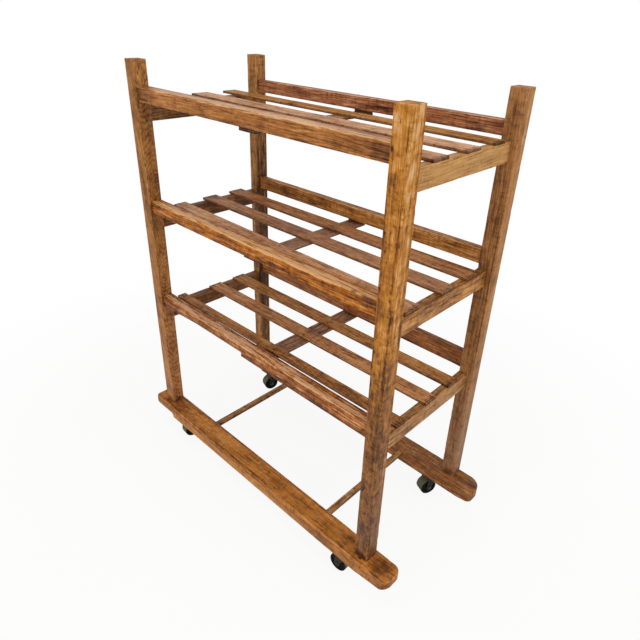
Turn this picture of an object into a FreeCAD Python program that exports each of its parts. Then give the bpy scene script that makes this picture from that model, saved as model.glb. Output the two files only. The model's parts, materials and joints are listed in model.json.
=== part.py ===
import FreeCAD, Part

import math
import os

import Sketcher

# A bakery bread rack: four posts stand on two long runners, three slatted shelves hang between
# the posts on tenoned rails, two thin stretchers tie the runners, and four swivel casters carry it.
# X runs along the runners, Y from the open front to the back, Z up from the floor.
# The origin lies on the floor, under the middle of the rack's outline.

SHELVES = ("top", "middle", "bottom")
SIDES = ("left", "right")
DEPTHS = ("front", "back")
ROWS = ("front", "centre", "back")
CORNERS = [(side, row) for row in DEPTHS for side in SIDES]

# Driving sizes in millimetres and degrees.
SIZES = {
    # posts and the tenons at their feet
    "post_width": 47.5,
    "post_depth": 46,
    "post_length": 1300,
    "post_spacing_x": 1031.6,
    "post_spacing_y": 477.8,
    "post_top_chamfer": 1.5,
    "foot_tenon_width": 28,
    "foot_tenon_depth": 24,
    "foot_tenon_length": 25,
    # runners: toes run past the posts, lips stand out in front of and behind them
    "runner_width": 77.5,
    "runner_thickness": 48.5,
    "runner_arris": 2.5,
    "toe_left": 78.2,
    "toe_right": 114.2,
    "lip_front": 22.1,
    "lip_back": 4.1,
    # plan radii of the runners' noses: outer is the corner away from the rack's middle
    "nose_outer_front_right": 28,
    "nose_inner_front_right": 26,
    "nose_outer_back_right": 46,
    "nose_inner_back_right": 12,
    "nose_outer_front_left": 18,
    "nose_inner_front_left": 12,
    "nose_outer_back_left": 18,
    "nose_inner_back_left": 12,
    # undersides of the toes
    "left_toe_rise": 18.5,
    "left_tip_rise": 25.5,
    "left_tip_run": 24,
    "left_toe_run": 115,
    "plate_margin": 2,
    "right_toe_rise_front": 13.5,
    "right_toe_run_front": 120,
    "right_toe_rise_back": 4.5,
    "right_toe_run_back": 55,
    "right_tip_run": 20,
    "right_tip_lift": 9,
    # mortise and tenon joints
    "joint_clearance": 0.15,
    "joint_end_gap": 1.5,
    "tenon_length": 28,
    "tenon_shoulder": 6,
    "end_tenon_thickness": 12,
    "front_tenon_thickness": 14,
    "back_tenon_thickness": 11,
    # shelf levels: from the posts' tops down to the first seat, where slats lie, then seat to seat
    "seat_drop": 133,
    "upper_bay": 366,
    "lower_bay": 365,
    "end_rail_thickness": 29,
    "end_rail_inset_left": 3.5,
    "end_rail_inset_right": 0.5,
    "end_rail_height_top": 54,
    "end_rail_height_middle": 52,
    "end_rail_height_bottom": 52,
    # front and back rails: each stands a gap above its seat
    "front_rail_thickness": 38,
    "front_rail_setback": 7,
    "front_rail_round": 7,
    "front_rail_gap_top": 10.5,
    "front_rail_gap_middle": 16,
    "front_rail_gap_bottom": 15,
    "front_rail_height_top": 45,
    "front_rail_height_middle": 40,
    "front_rail_height_bottom": 44,
    "back_rail_thickness": 28,
    "back_rail_setback": 8,
    "back_rail_round": 3,
    "back_rail_gap_top": 9.5,
    "back_rail_gap_middle": 10.5,
    "back_rail_gap_bottom": 9,
    "back_rail_height_top": 40.5,
    "back_rail_height_middle": 45.5,
    "back_rail_height_bottom": 55,
    # hollow planed into the underside of the bottom front rail
    "relief_depth": 16,
    "relief_start_depth": 3,
    "relief_run": 209,
    "relief_gap": 2,
    # slats: the front edge at either end, from the frame's middle, and the width there
    "slat_thickness": 8.5,
    "slat_overhang_left": 9,
    "slat_stop_right": 2,
    "slat_short_bottom": 15,
    "slat_long_top": 41,
    "slat_top_front_y_left": -137,
    "slat_top_front_y_right": -137,
    "slat_top_front_width_left": 62,
    "slat_top_front_width_right": 62,
    "slat_top_centre_y_left": -1,
    "slat_top_centre_y_right": -1,
    "slat_top_centre_width_left": 66,
    "slat_top_centre_width_right": 66,
    "slat_top_back_y_left": 135,
    "slat_top_back_y_right": 135,
    "slat_top_back_width_left": 54,
    "slat_top_back_width_right": 54,
    "slat_middle_front_y_left": -138,
    "slat_middle_front_y_right": -176,
    "slat_middle_front_width_left": 48,
    "slat_middle_front_width_right": 63,
    "slat_middle_centre_y_left": -14,
    "slat_middle_centre_y_right": -16,
    "slat_middle_centre_width_left": 60,
    "slat_middle_centre_width_right": 64,
    "slat_middle_back_y_left": 109,
    "slat_middle_back_y_right": 109,
    "slat_middle_back_width_left": 59,
    "slat_middle_back_width_right": 69,
    "slat_bottom_front_y_left": -162.5,
    "slat_bottom_front_y_right": -155,
    "slat_bottom_front_width_left": 35,
    "slat_bottom_front_width_right": 42,
    "slat_bottom_centre_y_left": -25,
    "slat_bottom_centre_y_right": -15,
    "slat_bottom_centre_width_left": 57,
    "slat_bottom_centre_width_right": 55,
    "slat_bottom_back_y_left": 93,
    "slat_bottom_back_y_right": 108,
    "slat_bottom_back_width_left": 57,
    "slat_bottom_back_width_right": 52,
    # centre bearers under the slats, with packing blocks up to the long rails
    "bearer_width": 66,
    "bearer_thickness": 6.5,
    "bearer_inset_front": 26,
    "bearer_inset_back": 0,
    "block_setback": 15,
    # cut nails
    "nail_length": 25,
    "short_nail_length": 12.5,
    "bearer_nail_length": 40,
    "nail_width": 2.6,
    "nail_thickness": 1.6,
    "nail_head_width": 5.2,
    "nail_head_thickness": 3.4,
    "nail_head_height": 1,
    "nail_set": 0.2,
    "nail_edge": 14,
    "nail_clearance": 0.05,
    "nail_end_gap": 1,
    # stretchers between the runners
    "stretcher_width": 17.5,
    "stretcher_drop": 5,
    "stretcher_socket": 14,
    "stretcher_inset_left": 238.8,
    "stretcher_inset_right": 188.3,
    # casters: floor to runner, place along the frame, and the way each one trails at rest
    "caster_height": 89.5,
    "caster_inset_front_left": 82.8,
    "caster_inset_front_right": 72.8,
    "caster_inset_back_left": 78.8,
    "caster_inset_back_right": 67.8,
    "trail_angle_front_left": 84,
    "trail_angle_front_right": 182,
    "trail_angle_back_left": 252,
    "trail_angle_back_right": 246,
    "plate_length": 60,
    "plate_thickness": 3,
    "plate_corner": 5,
    "screw_spacing": 44,
    "screw_radius": 2.2,
    "screw_length": 24,
    "screw_head_radius": 4.5,
    "screw_head_height": 3,
    "screw_clearance": 0.05,
    "kingpin_radius": 5,
    "kingpin_nut_radius": 8,
    "kingpin_nut_height": 4,
    "swivel_gap": 0.3,
    "running_clearance": 0.06,
    # fork and wheel
    "fork_gauge": 2.5,
    "fork_crown_radius": 22,
    "fork_crown_corner": 9,
    "fork_race_radius": 18.5,
    "fork_race_height": 9.7,
    "fork_leg_top": 19,
    "fork_ear_radius": 11,
    "fork_ear_corner": 7,
    "fork_ear_rise": 8,
    "trail": 14,
    "wheel_radius": 31,
    "wheel_width": 38,
    "wheel_side_gap": 1,
    "hub_radius": 9.5,
    "hub_gap": 0.3,
    "axle_radius": 4,
    "axle_head_radius": 6.5,
    "axle_head_height": 2.6,
}

doc = FreeCAD.newDocument("bread_rack")
sheet = doc.addObject("Spreadsheet::Sheet", "Sizes")
for row, (name, number) in enumerate(SIZES.items(), start=1):
    sheet.set(f"A{row}", name)
    sheet.set(f"B{row}", str(number))
    sheet.setAlias(f"B{row}", name)
doc.recompute()


class Size:
    """A size held twice: as a number, and as a formula in the sheet's cells for setExpression."""

    def __init__(self, number, formula):
        self.number = number
        self.formula = formula

    def combine(self, sign, other, swapped=False):
        other = as_size(other)
        first, second = (other, self) if swapped else (self, other)
        results = {
            "+": first.number + second.number,
            "-": first.number - second.number,
            "*": first.number * second.number,
        }
        return Size(results[sign], f"({first.formula} {sign} {second.formula})")

    def __add__(self, other):
        return self.combine("+", other)

    def __radd__(self, other):
        return self.combine("+", other, swapped=True)

    def __sub__(self, other):
        return self.combine("-", other)

    def __rsub__(self, other):
        return self.combine("-", other, swapped=True)

    def __mul__(self, other):
        return self.combine("*", other)

    def __rmul__(self, other):
        return self.combine("*", other, swapped=True)

    def __truediv__(self, divisor):
        return Size(self.number / divisor, f"({self.formula} / {divisor})")

    def __neg__(self):
        return Size(-self.number, f"(-{self.formula})")


def as_size(value):
    return value if isinstance(value, Size) else Size(value, f"{value}")


def size(name):
    return Size(float(sheet.get(name)), f"Sizes.{name}")


def bind(item, property_path, value):
    """Ties one property of a document object to the sheet."""
    item.setExpression(property_path, as_size(value).formula)


def point(x, y, z=0):
    return FreeCAD.Vector(*(as_size(value).number for value in (x, y, z)))


# ---------------------------------------------------------------- building blocks

finished = []  # the document objects that become files, in order


def new_body(label, place, turn=None):
    """A body whose origin stands at place, turned about Z by turn degrees."""
    body = doc.addObject("PartDesign::Body", label + "_body")
    for axis, value in zip("xyz", place):
        bind(body, f"Placement.Base.{axis}", value)
    if turn is not None:
        body.Placement.Rotation = FreeCAD.Rotation(FreeCAD.Vector(0, 0, 1), turn.number)
        bind(body, "Placement.Rotation.Angle", turn)
    return body


def finish(item, label):
    """Names an object as a finished piece of the rack."""
    item.Label = label
    finished.append(item)
    return item


def new_sketch(body, role, level):
    """A sketch on one of the body's own planes, level above it along the plane's normal."""
    plane = [item for item in body.Origin.OriginFeatures if item.Role == role][0]
    sketch = body.newObject("Sketcher::SketchObject", f"{body.Name}_sketch")
    sketch.AttachmentSupport = [(plane, "")]
    sketch.MapMode = "FlatFace"
    bind(sketch, "AttachmentOffset.Base.z", level)
    return sketch


def pin_point(sketch, line, end, x, y):
    """Fixes one end of a line to bound distances from the sketch's origin."""
    for kind, value in (("DistanceX", x), ("DistanceY", y)):
        value = as_size(value)
        index = sketch.addConstraint(Sketcher.Constraint(kind, -1, 1, line, end, value.number))
        bind(sketch, f"Constraints[{index}]", value)


def polygon(body, corners, role="XY_Plane", level=0):
    """A closed outline of straight lines through the corners."""
    sketch = new_sketch(body, role, level)
    count = len(corners)
    for index in range(count):
        start, end = corners[index], corners[(index + 1) % count]
        sketch.addGeometry(Part.LineSegment(point(*start), point(*end)))
    for index in range(count):
        sketch.addConstraint(Sketcher.Constraint("Coincident", index, 2, (index + 1) % count, 1))
    for index, (x, y) in enumerate(corners):
        pin_point(sketch, index, 1, x, y)
    return sketch


def circles(body, centres, radius, role="XY_Plane", level=0):
    """A sketch of equal circles."""
    sketch = new_sketch(body, role, level)
    up = FreeCAD.Vector(0, 0, 1)
    for index, (x, y) in enumerate(centres):
        sketch.addGeometry(Part.Circle(point(x, y), up, radius.number))
        pin_point(sketch, index, 3, x, y)
        turn = sketch.addConstraint(Sketcher.Constraint("Radius", index, radius.number))
        bind(sketch, f"Constraints[{turn}]", radius)
    return sketch


def extrude(body, sketch, length, cut=False, symmetric=False, down=False):
    """Pads or pockets a sketch: upwards from its plane, or downwards, or half to each side."""
    kind = "Pocket" if cut else "Pad"
    feature = body.newObject(f"PartDesign::{kind}", f"{body.Name}_{kind}")
    feature.Profile = sketch
    if symmetric:
        feature.SideType = "Symmetric"
    else:
        feature.Reversed = down != cut  # a pocket runs against its sketch's normal by default
    bind(feature, "Length", length)
    return feature


def block(body, low, high, cut=False):
    """A box between two corners, added to the body or cut from it."""
    (x0, y0, z0), (x1, y1, z1) = low, high
    outline = polygon(body, [(x0, y0), (x1, y0), (x1, y1), (x0, y1)], level=z0)
    return extrude(body, outline, as_size(z1) - z0, cut=cut)


def ease(body, edges_of, radius, kind="Fillet"):
    """Rounds or chamfers the edges that edges_of picks from the body's present shape."""
    doc.recompute()
    base = body.Tip
    names = [f"Edge{n}" for n, edge in enumerate(base.Shape.Edges, start=1) if edges_of(edge)]
    if not names:
        raise ValueError(f"no edge to ease on {body.Name}")
    feature = body.newObject(f"PartDesign::{kind}", f"{body.Name}_{kind}")
    feature.Base = (base, names)
    bind(feature, "Radius" if kind == "Fillet" else "Size", radius)
    return feature


TOUCH = 1e-4  # how close two coordinates are when they count as the same


def along(edge, axis):
    """Whether a straight edge runs along the axis named x, y or z."""
    ends = [vertex.Point for vertex in edge.Vertexes]
    if len(ends) != 2 or not isinstance(edge.Curve, Part.Line):
        return False
    step = ends[1] - ends[0]
    return all(abs(getattr(step, other)) < TOUCH for other in "xyz" if other != axis)


def at(edge, **coordinates):
    """Whether both ends of an edge have the given coordinates."""
    return all(
        abs(getattr(vertex.Point, axis) - as_size(value).number) < TOUCH
        for vertex in edge.Vertexes
        for axis, value in coordinates.items()
    )


def nail_box(centre, half_x, half_y, low, high):
    """A square-edged length of nail between two heights."""
    x, y = centre
    corner = FreeCAD.Vector(x - half_x, y - half_y, low)
    return Part.makeBox(2 * half_x, 2 * half_y, high - low, corner)


def nail_shape(x, y, head_z, length, points_down, margin=0, end_gap=0):
    """A cut nail, or with a margin the bore it is driven into, with its head let in flush."""
    way = -1 if points_down else 1
    half = [size(name).number / 2 + margin for name in ("nail_width", "nail_thickness")]
    half_head = [size(name).number / 2 + margin for name in ("nail_head_width", "nail_head_thickness")]
    sunk = head_z + way * size("nail_set").number
    top = head_z - way * margin if end_gap else sunk
    neck = sunk + way * (size("nail_head_height").number + margin)
    tip = sunk + way * (length + end_gap)
    head = nail_box((x, y), *half_head, *sorted((top, neck)))
    shank = nail_box((x, y), *half, *sorted((neck, tip)))
    return head.fuse(shank)


def group(label, shapes):
    """One node of separate solids."""
    item = doc.addObject("Part::Feature", label)
    item.Shape = Part.makeCompound(shapes)
    item.Placement = FreeCAD.Placement()
    return item


def bore(body, tool, label):
    """The finished piece: the body with the fasteners' bores cut from it."""
    cut = doc.addObject("Part::Cut", label)
    cut.Base = body
    cut.Tool = tool
    return finish(cut, label)


# ---------------------------------------------------------------- places worked out once

runner_length = size("post_spacing_x") + size("toe_left") + size("toe_right")
left_tip = -runner_length / 2
right_tip = runner_length / 2
post_x = {"left": left_tip + size("toe_left"), "right": right_tip - size("toe_right")}
frame_x = (post_x["left"] + post_x["right"]) / 2

overall_depth = size("post_spacing_y") + size("post_depth") + size("lip_front") + size("lip_back")
front_y = -overall_depth / 2
back_y = overall_depth / 2
post_y = {
    "front": front_y + size("lip_front") + size("post_depth") / 2,
    "back": back_y - size("lip_back") - size("post_depth") / 2,
}
frame_y = (post_y["front"] + post_y["back"]) / 2
runner_y = {
    "front": front_y + size("runner_width") / 2,
    "back": back_y - size("runner_width") / 2,
}
runner_bottom = size("caster_height")
plate_bottom = runner_bottom - size("plate_thickness")
runner_top = runner_bottom + size("runner_thickness")

half_post_x = size("post_width") / 2
half_post_y = size("post_depth") / 2
inner_x = {"left": post_x["left"] + half_post_x, "right": post_x["right"] - half_post_x}
inner_y = {"front": post_y["front"] + half_post_y, "back": post_y["back"] - half_post_y}
span_x = size("post_spacing_x") - size("post_width")
span_y = size("post_spacing_y") - size("post_depth")

end_rail_x = {side: post_x[side] - half_post_x + size(f"end_rail_inset_{side}") for side in SIDES}
long_rail_y = {
    "front": post_y["front"] - half_post_y + size("front_rail_setback"),
    "back": post_y["back"] - half_post_y + size("back_rail_setback"),
}
seat = {"top": runner_top + size("post_length") - size("seat_drop")}
seat["middle"] = seat["top"] - size("upper_bay")
seat["bottom"] = seat["middle"] - size("lower_bay")
clearance = size("joint_clearance")
tenon_length = size("tenon_length")
shoulder = size("tenon_shoulder")



def inward(side, inset):
    """A place on the length of the rack, at an inset from the posts of one side."""
    return post_x[side] + inset if side == "left" else post_x[side] - inset


caster_x = {(side, row): inward(side, size(f"caster_inset_{row}_{side}")) for side, row in CORNERS}
trail_angle = {corner: size("trail_angle_{1}_{0}".format(*corner)) for corner in CORNERS}


def rail_bottom(row, shelf):
    return seat[shelf] + size(f"{row}_rail_gap_{shelf}")


def tenon_band(thickness, tenon):
    """The two faces of a tenon centred in its rail's thickness."""
    return (thickness - tenon) / 2, (thickness + tenon) / 2


# ---------------------------------------------------------------- nails


def slat_left_end(shelf, row):
    overhang = size("slat_overhang_left")
    if shelf == "bottom" and row != "front":
        overhang = overhang - size("slat_short_bottom")
    if shelf == "top":
        overhang = overhang + size("slat_long_top")
    return end_rail_x["left"] - overhang


def slat_right_end():
    return end_rail_x["right"] + size("end_rail_thickness") - size("slat_stop_right")


def slat_edges(shelf, row, end):
    """Front and back edge of a slat at its left or right end."""
    front = frame_y + size(f"slat_{shelf}_{row}_y_{end}")
    return front, front + size(f"slat_{shelf}_{row}_width_{end}")


def slat_nail_places(shelf):
    """Two nails where each slat crosses either end rail or the centre bearer: place and length."""
    half_rail = size("end_rail_thickness") / 2
    long_nail, short_nail = size("nail_length"), size("short_nail_length")
    supports = [(end_rail_x[side] + half_rail, long_nail) for side in SIDES]
    supports.insert(1, (frame_x, short_nail))
    places = []
    for row in ROWS:
        left, right = slat_left_end(shelf, row).number, slat_right_end().number
        for support, length in supports:
            share = (support.number - left) / (right - left)
            edges = zip(slat_edges(shelf, row, "left"), slat_edges(shelf, row, "right"))
            front, back = (a.number + share * (b.number - a.number) for a, b in edges)
            inset = min(size("nail_edge").number, (back - front) / 3)
            for y in (front + inset, back - inset):
                places.append((support.number, y, length.number))
    return places


def bearer_ends():
    """Front and back end of every centre bearer."""
    back_face = long_rail_y["back"] + size("back_rail_thickness")
    return long_rail_y["front"] + size("bearer_inset_front"), back_face - size("bearer_inset_back")


def block_reach():
    """Front and back limits of the packing blocks at either end of a bearer."""
    front_end, back_end = bearer_ends()
    front_rail_back = long_rail_y["front"] + size("front_rail_thickness")
    return {"front": (front_end, front_rail_back), "back": (long_rail_y["back"] + size("block_setback"), back_end)}


def bearer_nail_places():
    """Two nails through either end of a bearer and its block."""
    places = []
    for low, high in block_reach().values():
        middle = ((low + high) / 2).number
        for way in (-1, 1):
            x = frame_x + way * (size("bearer_width") / 2 - size("nail_edge"))
            places.append((x.number, middle))
    return places


def nails(shelf, margin=0, end_gap=0):
    """Every nail of a shelf, or every bore when margins are given."""
    slat_top = (seat[shelf] + size("slat_thickness")).number
    bearer_under = (seat[shelf] - size("bearer_thickness")).number
    long_nail = size("bearer_nail_length").number
    shapes = [
        nail_shape(x, y, slat_top, length, True, margin, end_gap)
        for x, y, length in slat_nail_places(shelf)
    ]
    shapes += [
        nail_shape(x, y, bearer_under, long_nail, False, margin, end_gap)
        for x, y in bearer_nail_places()
    ]
    return shapes


nail_bores = {}
for shelf in SHELVES:
    finish(group(f"nails_{shelf}", nails(shelf)), f"nails_{shelf}")
    gaps = [size("nail_clearance").number, size("nail_end_gap").number]
    nail_bores[shelf] = group(f"nail_bores_{shelf}", nails(shelf, *gaps))


# ---------------------------------------------------------------- posts


def post(side, row):
    """A post with a tenon at its foot and a mortise for each rail that it carries."""
    label = f"post_{row}_{side}"
    body = new_body(label, (post_x[side], post_y[row], runner_top))
    block(body, (-half_post_x, -half_post_y, 0), (half_post_x, half_post_y, size("post_length")))
    half_x = size("foot_tenon_width") / 2
    half_y = size("foot_tenon_depth") / 2
    foot = polygon(body, [(-half_x, -half_y), (half_x, -half_y), (half_x, half_y), (-half_x, half_y)])
    extrude(body, foot, size("foot_tenon_length"), down=True)
    for shelf in SHELVES:
        mortise_for_end_rail(body, side, row, shelf)
        mortise_for_long_rail(body, side, row, shelf)
    ease(body, lambda edge: at(edge, z=size("post_length")), size("post_top_chamfer"), "Chamfer")
    return finish(body, label)


def mortise_for_end_rail(body, side, row, shelf):
    face_low, face_high = tenon_band(size("end_rail_thickness"), size("end_tenon_thickness"))
    x = end_rail_x[side] - post_x[side]
    low_z = seat[shelf] - size(f"end_rail_height_{shelf}") + shoulder - clearance - runner_top
    high_z = seat[shelf] - shoulder + clearance - runner_top
    depth = tenon_length + size("joint_end_gap")
    reach = (half_post_y - depth, half_post_y) if row == "front" else (-half_post_y, depth - half_post_y)
    low = (x + face_low - clearance, reach[0], low_z)
    high = (x + face_high + clearance, reach[1], high_z)
    block(body, low, high, cut=True)


def mortise_for_long_rail(body, side, row, shelf):
    face_low, face_high = tenon_band(size(f"{row}_rail_thickness"), size(f"{row}_tenon_thickness"))
    y = long_rail_y[row] - post_y[row]
    low_z = rail_bottom(row, shelf) - runner_top + shoulder - clearance
    high_z = low_z + size(f"{row}_rail_height_{shelf}") - 2 * shoulder + 2 * clearance
    depth = tenon_length + size("joint_end_gap")
    reach = (half_post_x - depth, half_post_x) if side == "left" else (-half_post_x, depth - half_post_x)
    low = (reach[0], y + face_low - clearance, low_z)
    high = (reach[1], y + face_high + clearance, high_z)
    block(body, low, high, cut=True)


for side, row in CORNERS:
    post(side, row)


# ---------------------------------------------------------------- rails


def end_rail(side, shelf):
    """A rail from the front post to the back one, which the slats lie across."""
    label = f"end_rail_{shelf}_{side}"
    height = size(f"end_rail_height_{shelf}")
    thickness = size("end_rail_thickness")
    body = new_body(label, (end_rail_x[side], inner_y["front"], seat[shelf] - height))
    block(body, (0, 0, 0), (thickness, span_y, height))
    low, high = tenon_band(thickness, size("end_tenon_thickness"))
    block(body, (low, -tenon_length, shoulder), (high, span_y + tenon_length, height - shoulder))
    bore(body, nail_bores[shelf], label)


def long_rail(row, shelf):
    """A rail along the front or back of a shelf, with its upper outer arris rounded."""
    label = f"{row}_rail_{shelf}"
    height = size(f"{row}_rail_height_{shelf}")
    thickness = size(f"{row}_rail_thickness")
    body = new_body(label, (inner_x["left"], long_rail_y[row], rail_bottom(row, shelf)))
    block(body, (0, 0, 0), (span_x, thickness, height))
    low, high = tenon_band(thickness, size(f"{row}_tenon_thickness"))
    block(body, (-tenon_length, low, shoulder), (span_x + tenon_length, high, height - shoulder))
    outer = 0 if row == "front" else thickness
    ease(body, lambda edge: at(edge, y=outer, z=height), size(f"{row}_rail_round"))
    if (row, shelf) == ("front", "bottom"):
        hollow_underside(body)
    bore(body, nail_bores[shelf], label)


def hollow_underside(body):
    """A shallow hollow from the left post to the edge of the centre bearer."""
    bearer_edge = frame_x - size("bearer_width") / 2 - inner_x["left"]
    end = bearer_edge - size("relief_gap")
    depth = size("relief_depth")
    start_depth = size("relief_start_depth")
    outline = [(0, -depth), (end, -depth), (end, depth), (size("relief_run"), depth), (0, start_depth)]
    sketch = polygon(body, outline, role="XZ_Plane")
    extrude(body, sketch, 3 * size("front_rail_thickness"), cut=True, symmetric=True)


for shelf in SHELVES:
    for side in SIDES:
        end_rail(side, shelf)
    for row in DEPTHS:
        long_rail(row, shelf)


# ---------------------------------------------------------------- shelves


def slat(shelf, row):
    """A thin board laid by hand across the end rails, so its ends differ a little."""
    label = f"slat_{shelf}_{row}"
    left_end = slat_left_end(shelf, row)
    length = slat_right_end() - left_end
    body = new_body(label, (left_end, frame_y, seat[shelf]))
    left_front, left_back = (edge - frame_y for edge in slat_edges(shelf, row, "left"))
    right_front, right_back = (edge - frame_y for edge in slat_edges(shelf, row, "right"))
    corners = [(0, left_front), (length, right_front), (length, right_back), (0, left_back)]
    extrude(body, polygon(body, corners), size("slat_thickness"))
    bore(body, nail_bores[shelf], label)


def bearer(shelf):
    """The board under the middle of the slats, hung from the long rails."""
    label = f"bearer_{shelf}"
    half = size("bearer_width") / 2
    front_end, back_end = bearer_ends()
    body = new_body(label, (frame_x, front_end, seat[shelf] - size("bearer_thickness")))
    block(body, (-half, 0, 0), (half, back_end - front_end, size("bearer_thickness")))
    bore(body, nail_bores[shelf], label)


def bearer_blocks(shelf):
    """Two packing blocks between the bearer's ends and the rails above them."""
    label = f"bearer_blocks_{shelf}"
    pieces = []
    for row, (low, high) in block_reach().items():
        box = doc.addObject("Part::Box", f"{label}_{row}")
        bind(box, "Length", size("bearer_width"))
        bind(box, "Width", high - low)
        bind(box, "Height", size(f"{row}_rail_gap_{shelf}"))
        bind(box, "Placement.Base.x", frame_x - size("bearer_width") / 2)
        bind(box, "Placement.Base.y", low)
        bind(box, "Placement.Base.z", seat[shelf])
        pieces.append(box)
    pair = doc.addObject("Part::Compound", f"{label}_pair")
    pair.Links = pieces
    bore(pair, nail_bores[shelf], label)


for shelf in SHELVES:
    for row in ROWS:
        slat(shelf, row)
    bearer(shelf)
    bearer_blocks(shelf)


# ---------------------------------------------------------------- runners and stretchers

HEXAGON, OCTAGON = range(6), range(8)  # the flats of a head or nut, and of a shank in its bore


def prism(flats, radius, height, base):
    """An upright bar of equal flats, each at the radius from its axis."""
    reach = radius / math.cos(math.pi / len(flats))
    turns = [2 * math.pi * index / len(flats) for index in (*flats, flats[0])]
    corners = [base + FreeCAD.Vector(reach * math.cos(turn), reach * math.sin(turn), 0) for turn in turns]
    return Part.Face(Part.makePolygon(corners)).extrude(FreeCAD.Vector(0, 0, height))


def screw_places(corner):
    """The four plate screws of one caster."""
    half = size("screw_spacing").number / 2
    x, y = caster_x[corner].number, runner_y[corner[1]].number
    return [(x + a * half, y + b * half) for a in (-1, 1) for b in (-1, 1)]


def screw_shape(x, y, margin=0):
    """A hexagon-head screw driven up through a plate into a runner, or with a margin its bore."""
    under = FreeCAD.Vector(x, y, plate_bottom.number - margin)
    reach = (size("plate_thickness") + size("screw_length")).number + 2 * margin
    shank = prism(OCTAGON, size("screw_radius").number + margin, reach, under)
    if margin:
        return shank
    head_height = size("screw_head_height").number
    below = under - FreeCAD.Vector(0, 0, head_height)
    return prism(HEXAGON, size("screw_head_radius").number, head_height, below).fuse(shank)


def runner(row):
    """A sled-like runner: rounded noses, lifted toes, mortises for the posts and stretchers."""
    label = f"runner_{row}"
    half = size("runner_width") / 2
    thickness = size("runner_thickness")
    body = new_body(label, (0, runner_y[row], runner_bottom))
    block(body, (left_tip, -half, 0), (right_tip, half, thickness))
    outer, inner = (-half, half) if row == "front" else (half, -half)
    for side, tip in (("left", left_tip), ("right", right_tip)):
        for name, y in (("outer", outer), ("inner", inner)):
            radius = size(f"nose_{name}_{row}_{side}")
            ease(body, lambda edge, x=tip, y=y: along(edge, "z") and at(edge, x=x, y=y), radius)
    lift_left_toe(body, row)
    lift_right_toe(body, row)
    ease(body, lambda edge: at(edge, z=thickness), size("runner_arris"), kind="Chamfer")
    for side in SIDES:
        foot_mortise(body, side, row)
        stretcher_mortise(body, side, inner)
    pilots = [
        screw_shape(x, y, size("screw_clearance").number)
        for side in SIDES
        for x, y in screw_places((side, row))
    ]
    bore(body, group(f"pilot_holes_{row}", pilots), label)


def lift_left_toe(body, row):
    """The underside rises in a short ramp beside the caster and again at the tip."""
    plate_end = caster_x[("left", row)] - size("plate_length") / 2 - size("plate_margin")
    rise = size("left_toe_rise")
    below = -rise
    outline = [
        (left_tip - rise, below),
        (plate_end, below),
        (plate_end, 0),
        (left_tip + size("left_toe_run"), rise),
        (left_tip + size("left_tip_run"), rise),
        (left_tip, size("left_tip_rise")),
        (left_tip - rise, size("left_tip_rise")),
    ]
    cut_toe(body, outline)


def lift_right_toe(body, row):
    """The underside of the long toe rises evenly, and more steeply at the tip."""
    rise = size(f"right_toe_rise_{row}")
    tip_rise = rise + size("right_tip_lift")
    outline = [
        (right_tip - size(f"right_toe_run_{row}"), 0),
        (right_tip - size("right_tip_run"), rise),
        (right_tip, tip_rise),
        (right_tip + tip_rise, tip_rise),
        (right_tip + tip_rise, -tip_rise),
        (right_tip - size(f"right_toe_run_{row}"), -tip_rise),
    ]
    cut_toe(body, outline)


def cut_toe(body, outline):
    sketch = polygon(body, outline, role="XZ_Plane")
    extrude(body, sketch, 2 * size("runner_width"), cut=True, symmetric=True)


def foot_mortise(body, side, row):
    """The blind mortise that takes a post's foot."""
    half_x = size("foot_tenon_width") / 2 + clearance
    half_y = size("foot_tenon_depth") / 2 + clearance
    x = post_x[side]
    y = post_y[row] - runner_y[row]
    top = size("runner_thickness")
    floor = top - size("foot_tenon_length") - size("joint_end_gap")
    block(body, (x - half_x, y - half_y, floor), (x + half_x, y + half_y, top), cut=True)


def stretcher_place(side):
    return inward(side, size(f"stretcher_inset_{side}"))


def stretcher_mortise(body, side, inner):
    """The socket in a runner's inner face that takes a stretcher's end."""
    half = size("stretcher_width") / 2 + clearance
    x = stretcher_place(side)
    depth = size("stretcher_socket") + size("joint_end_gap")
    faces = (inner, inner + depth) if inner.number < 0 else (inner - depth, inner)
    high = size("runner_thickness") - size("stretcher_drop") + clearance
    low = high - size("stretcher_width") - 2 * clearance
    block(body, (x - half, faces[0], low), (x + half, faces[1], high), cut=True)


def stretcher(side):
    """A thin square stick let into both runners."""
    label = f"stretcher_{side}"
    half = size("stretcher_width") / 2
    start = runner_y["front"] + size("runner_width") / 2 - size("stretcher_socket")
    end = runner_y["back"] - size("runner_width") / 2 + size("stretcher_socket")
    top = runner_top - size("stretcher_drop")
    body = new_body(label, (stretcher_place(side), start, top - size("stretcher_width")))
    block(body, (-half, 0, 0), (half, end - start, size("stretcher_width")))
    finish(body, label)


for row in DEPTHS:
    runner(row)
for side in SIDES:
    stretcher(side)


# ---------------------------------------------------------------- casters

race_top = plate_bottom - size("swivel_gap")
crown_top = race_top - size("fork_race_height")
crown_bottom = crown_top - size("fork_gauge")
axle_height = size("wheel_radius")
fork_inner = size("wheel_width") + 2 * size("wheel_side_gap")
fork_outer = fork_inner + 2 * size("fork_gauge")
trail = size("trail")


def caster_plate(corner):
    """The square plate under a runner, with clipped corners, bored for its kingpin and screws."""
    side, row = corner
    label = f"caster_plate_{row}_{side}"
    body = new_body(label, (caster_x[corner], runner_y[row], plate_bottom))
    half = size("plate_length") / 2
    block(body, (-half, -half, 0), (half, half, size("plate_thickness")))
    ease(body, lambda edge: along(edge, "z"), size("plate_corner"), kind="Chamfer")
    hole = circles(body, [(0, 0)], size("kingpin_radius") + size("running_clearance"))
    extrude(body, hole, size("plate_thickness"), cut=True)
    margin = size("screw_clearance").number
    screws = [screw_shape(x, y, margin) for x, y in screw_places(corner)]
    bore(body, group(f"plate_bores_{row}_{side}", screws), label)


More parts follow.
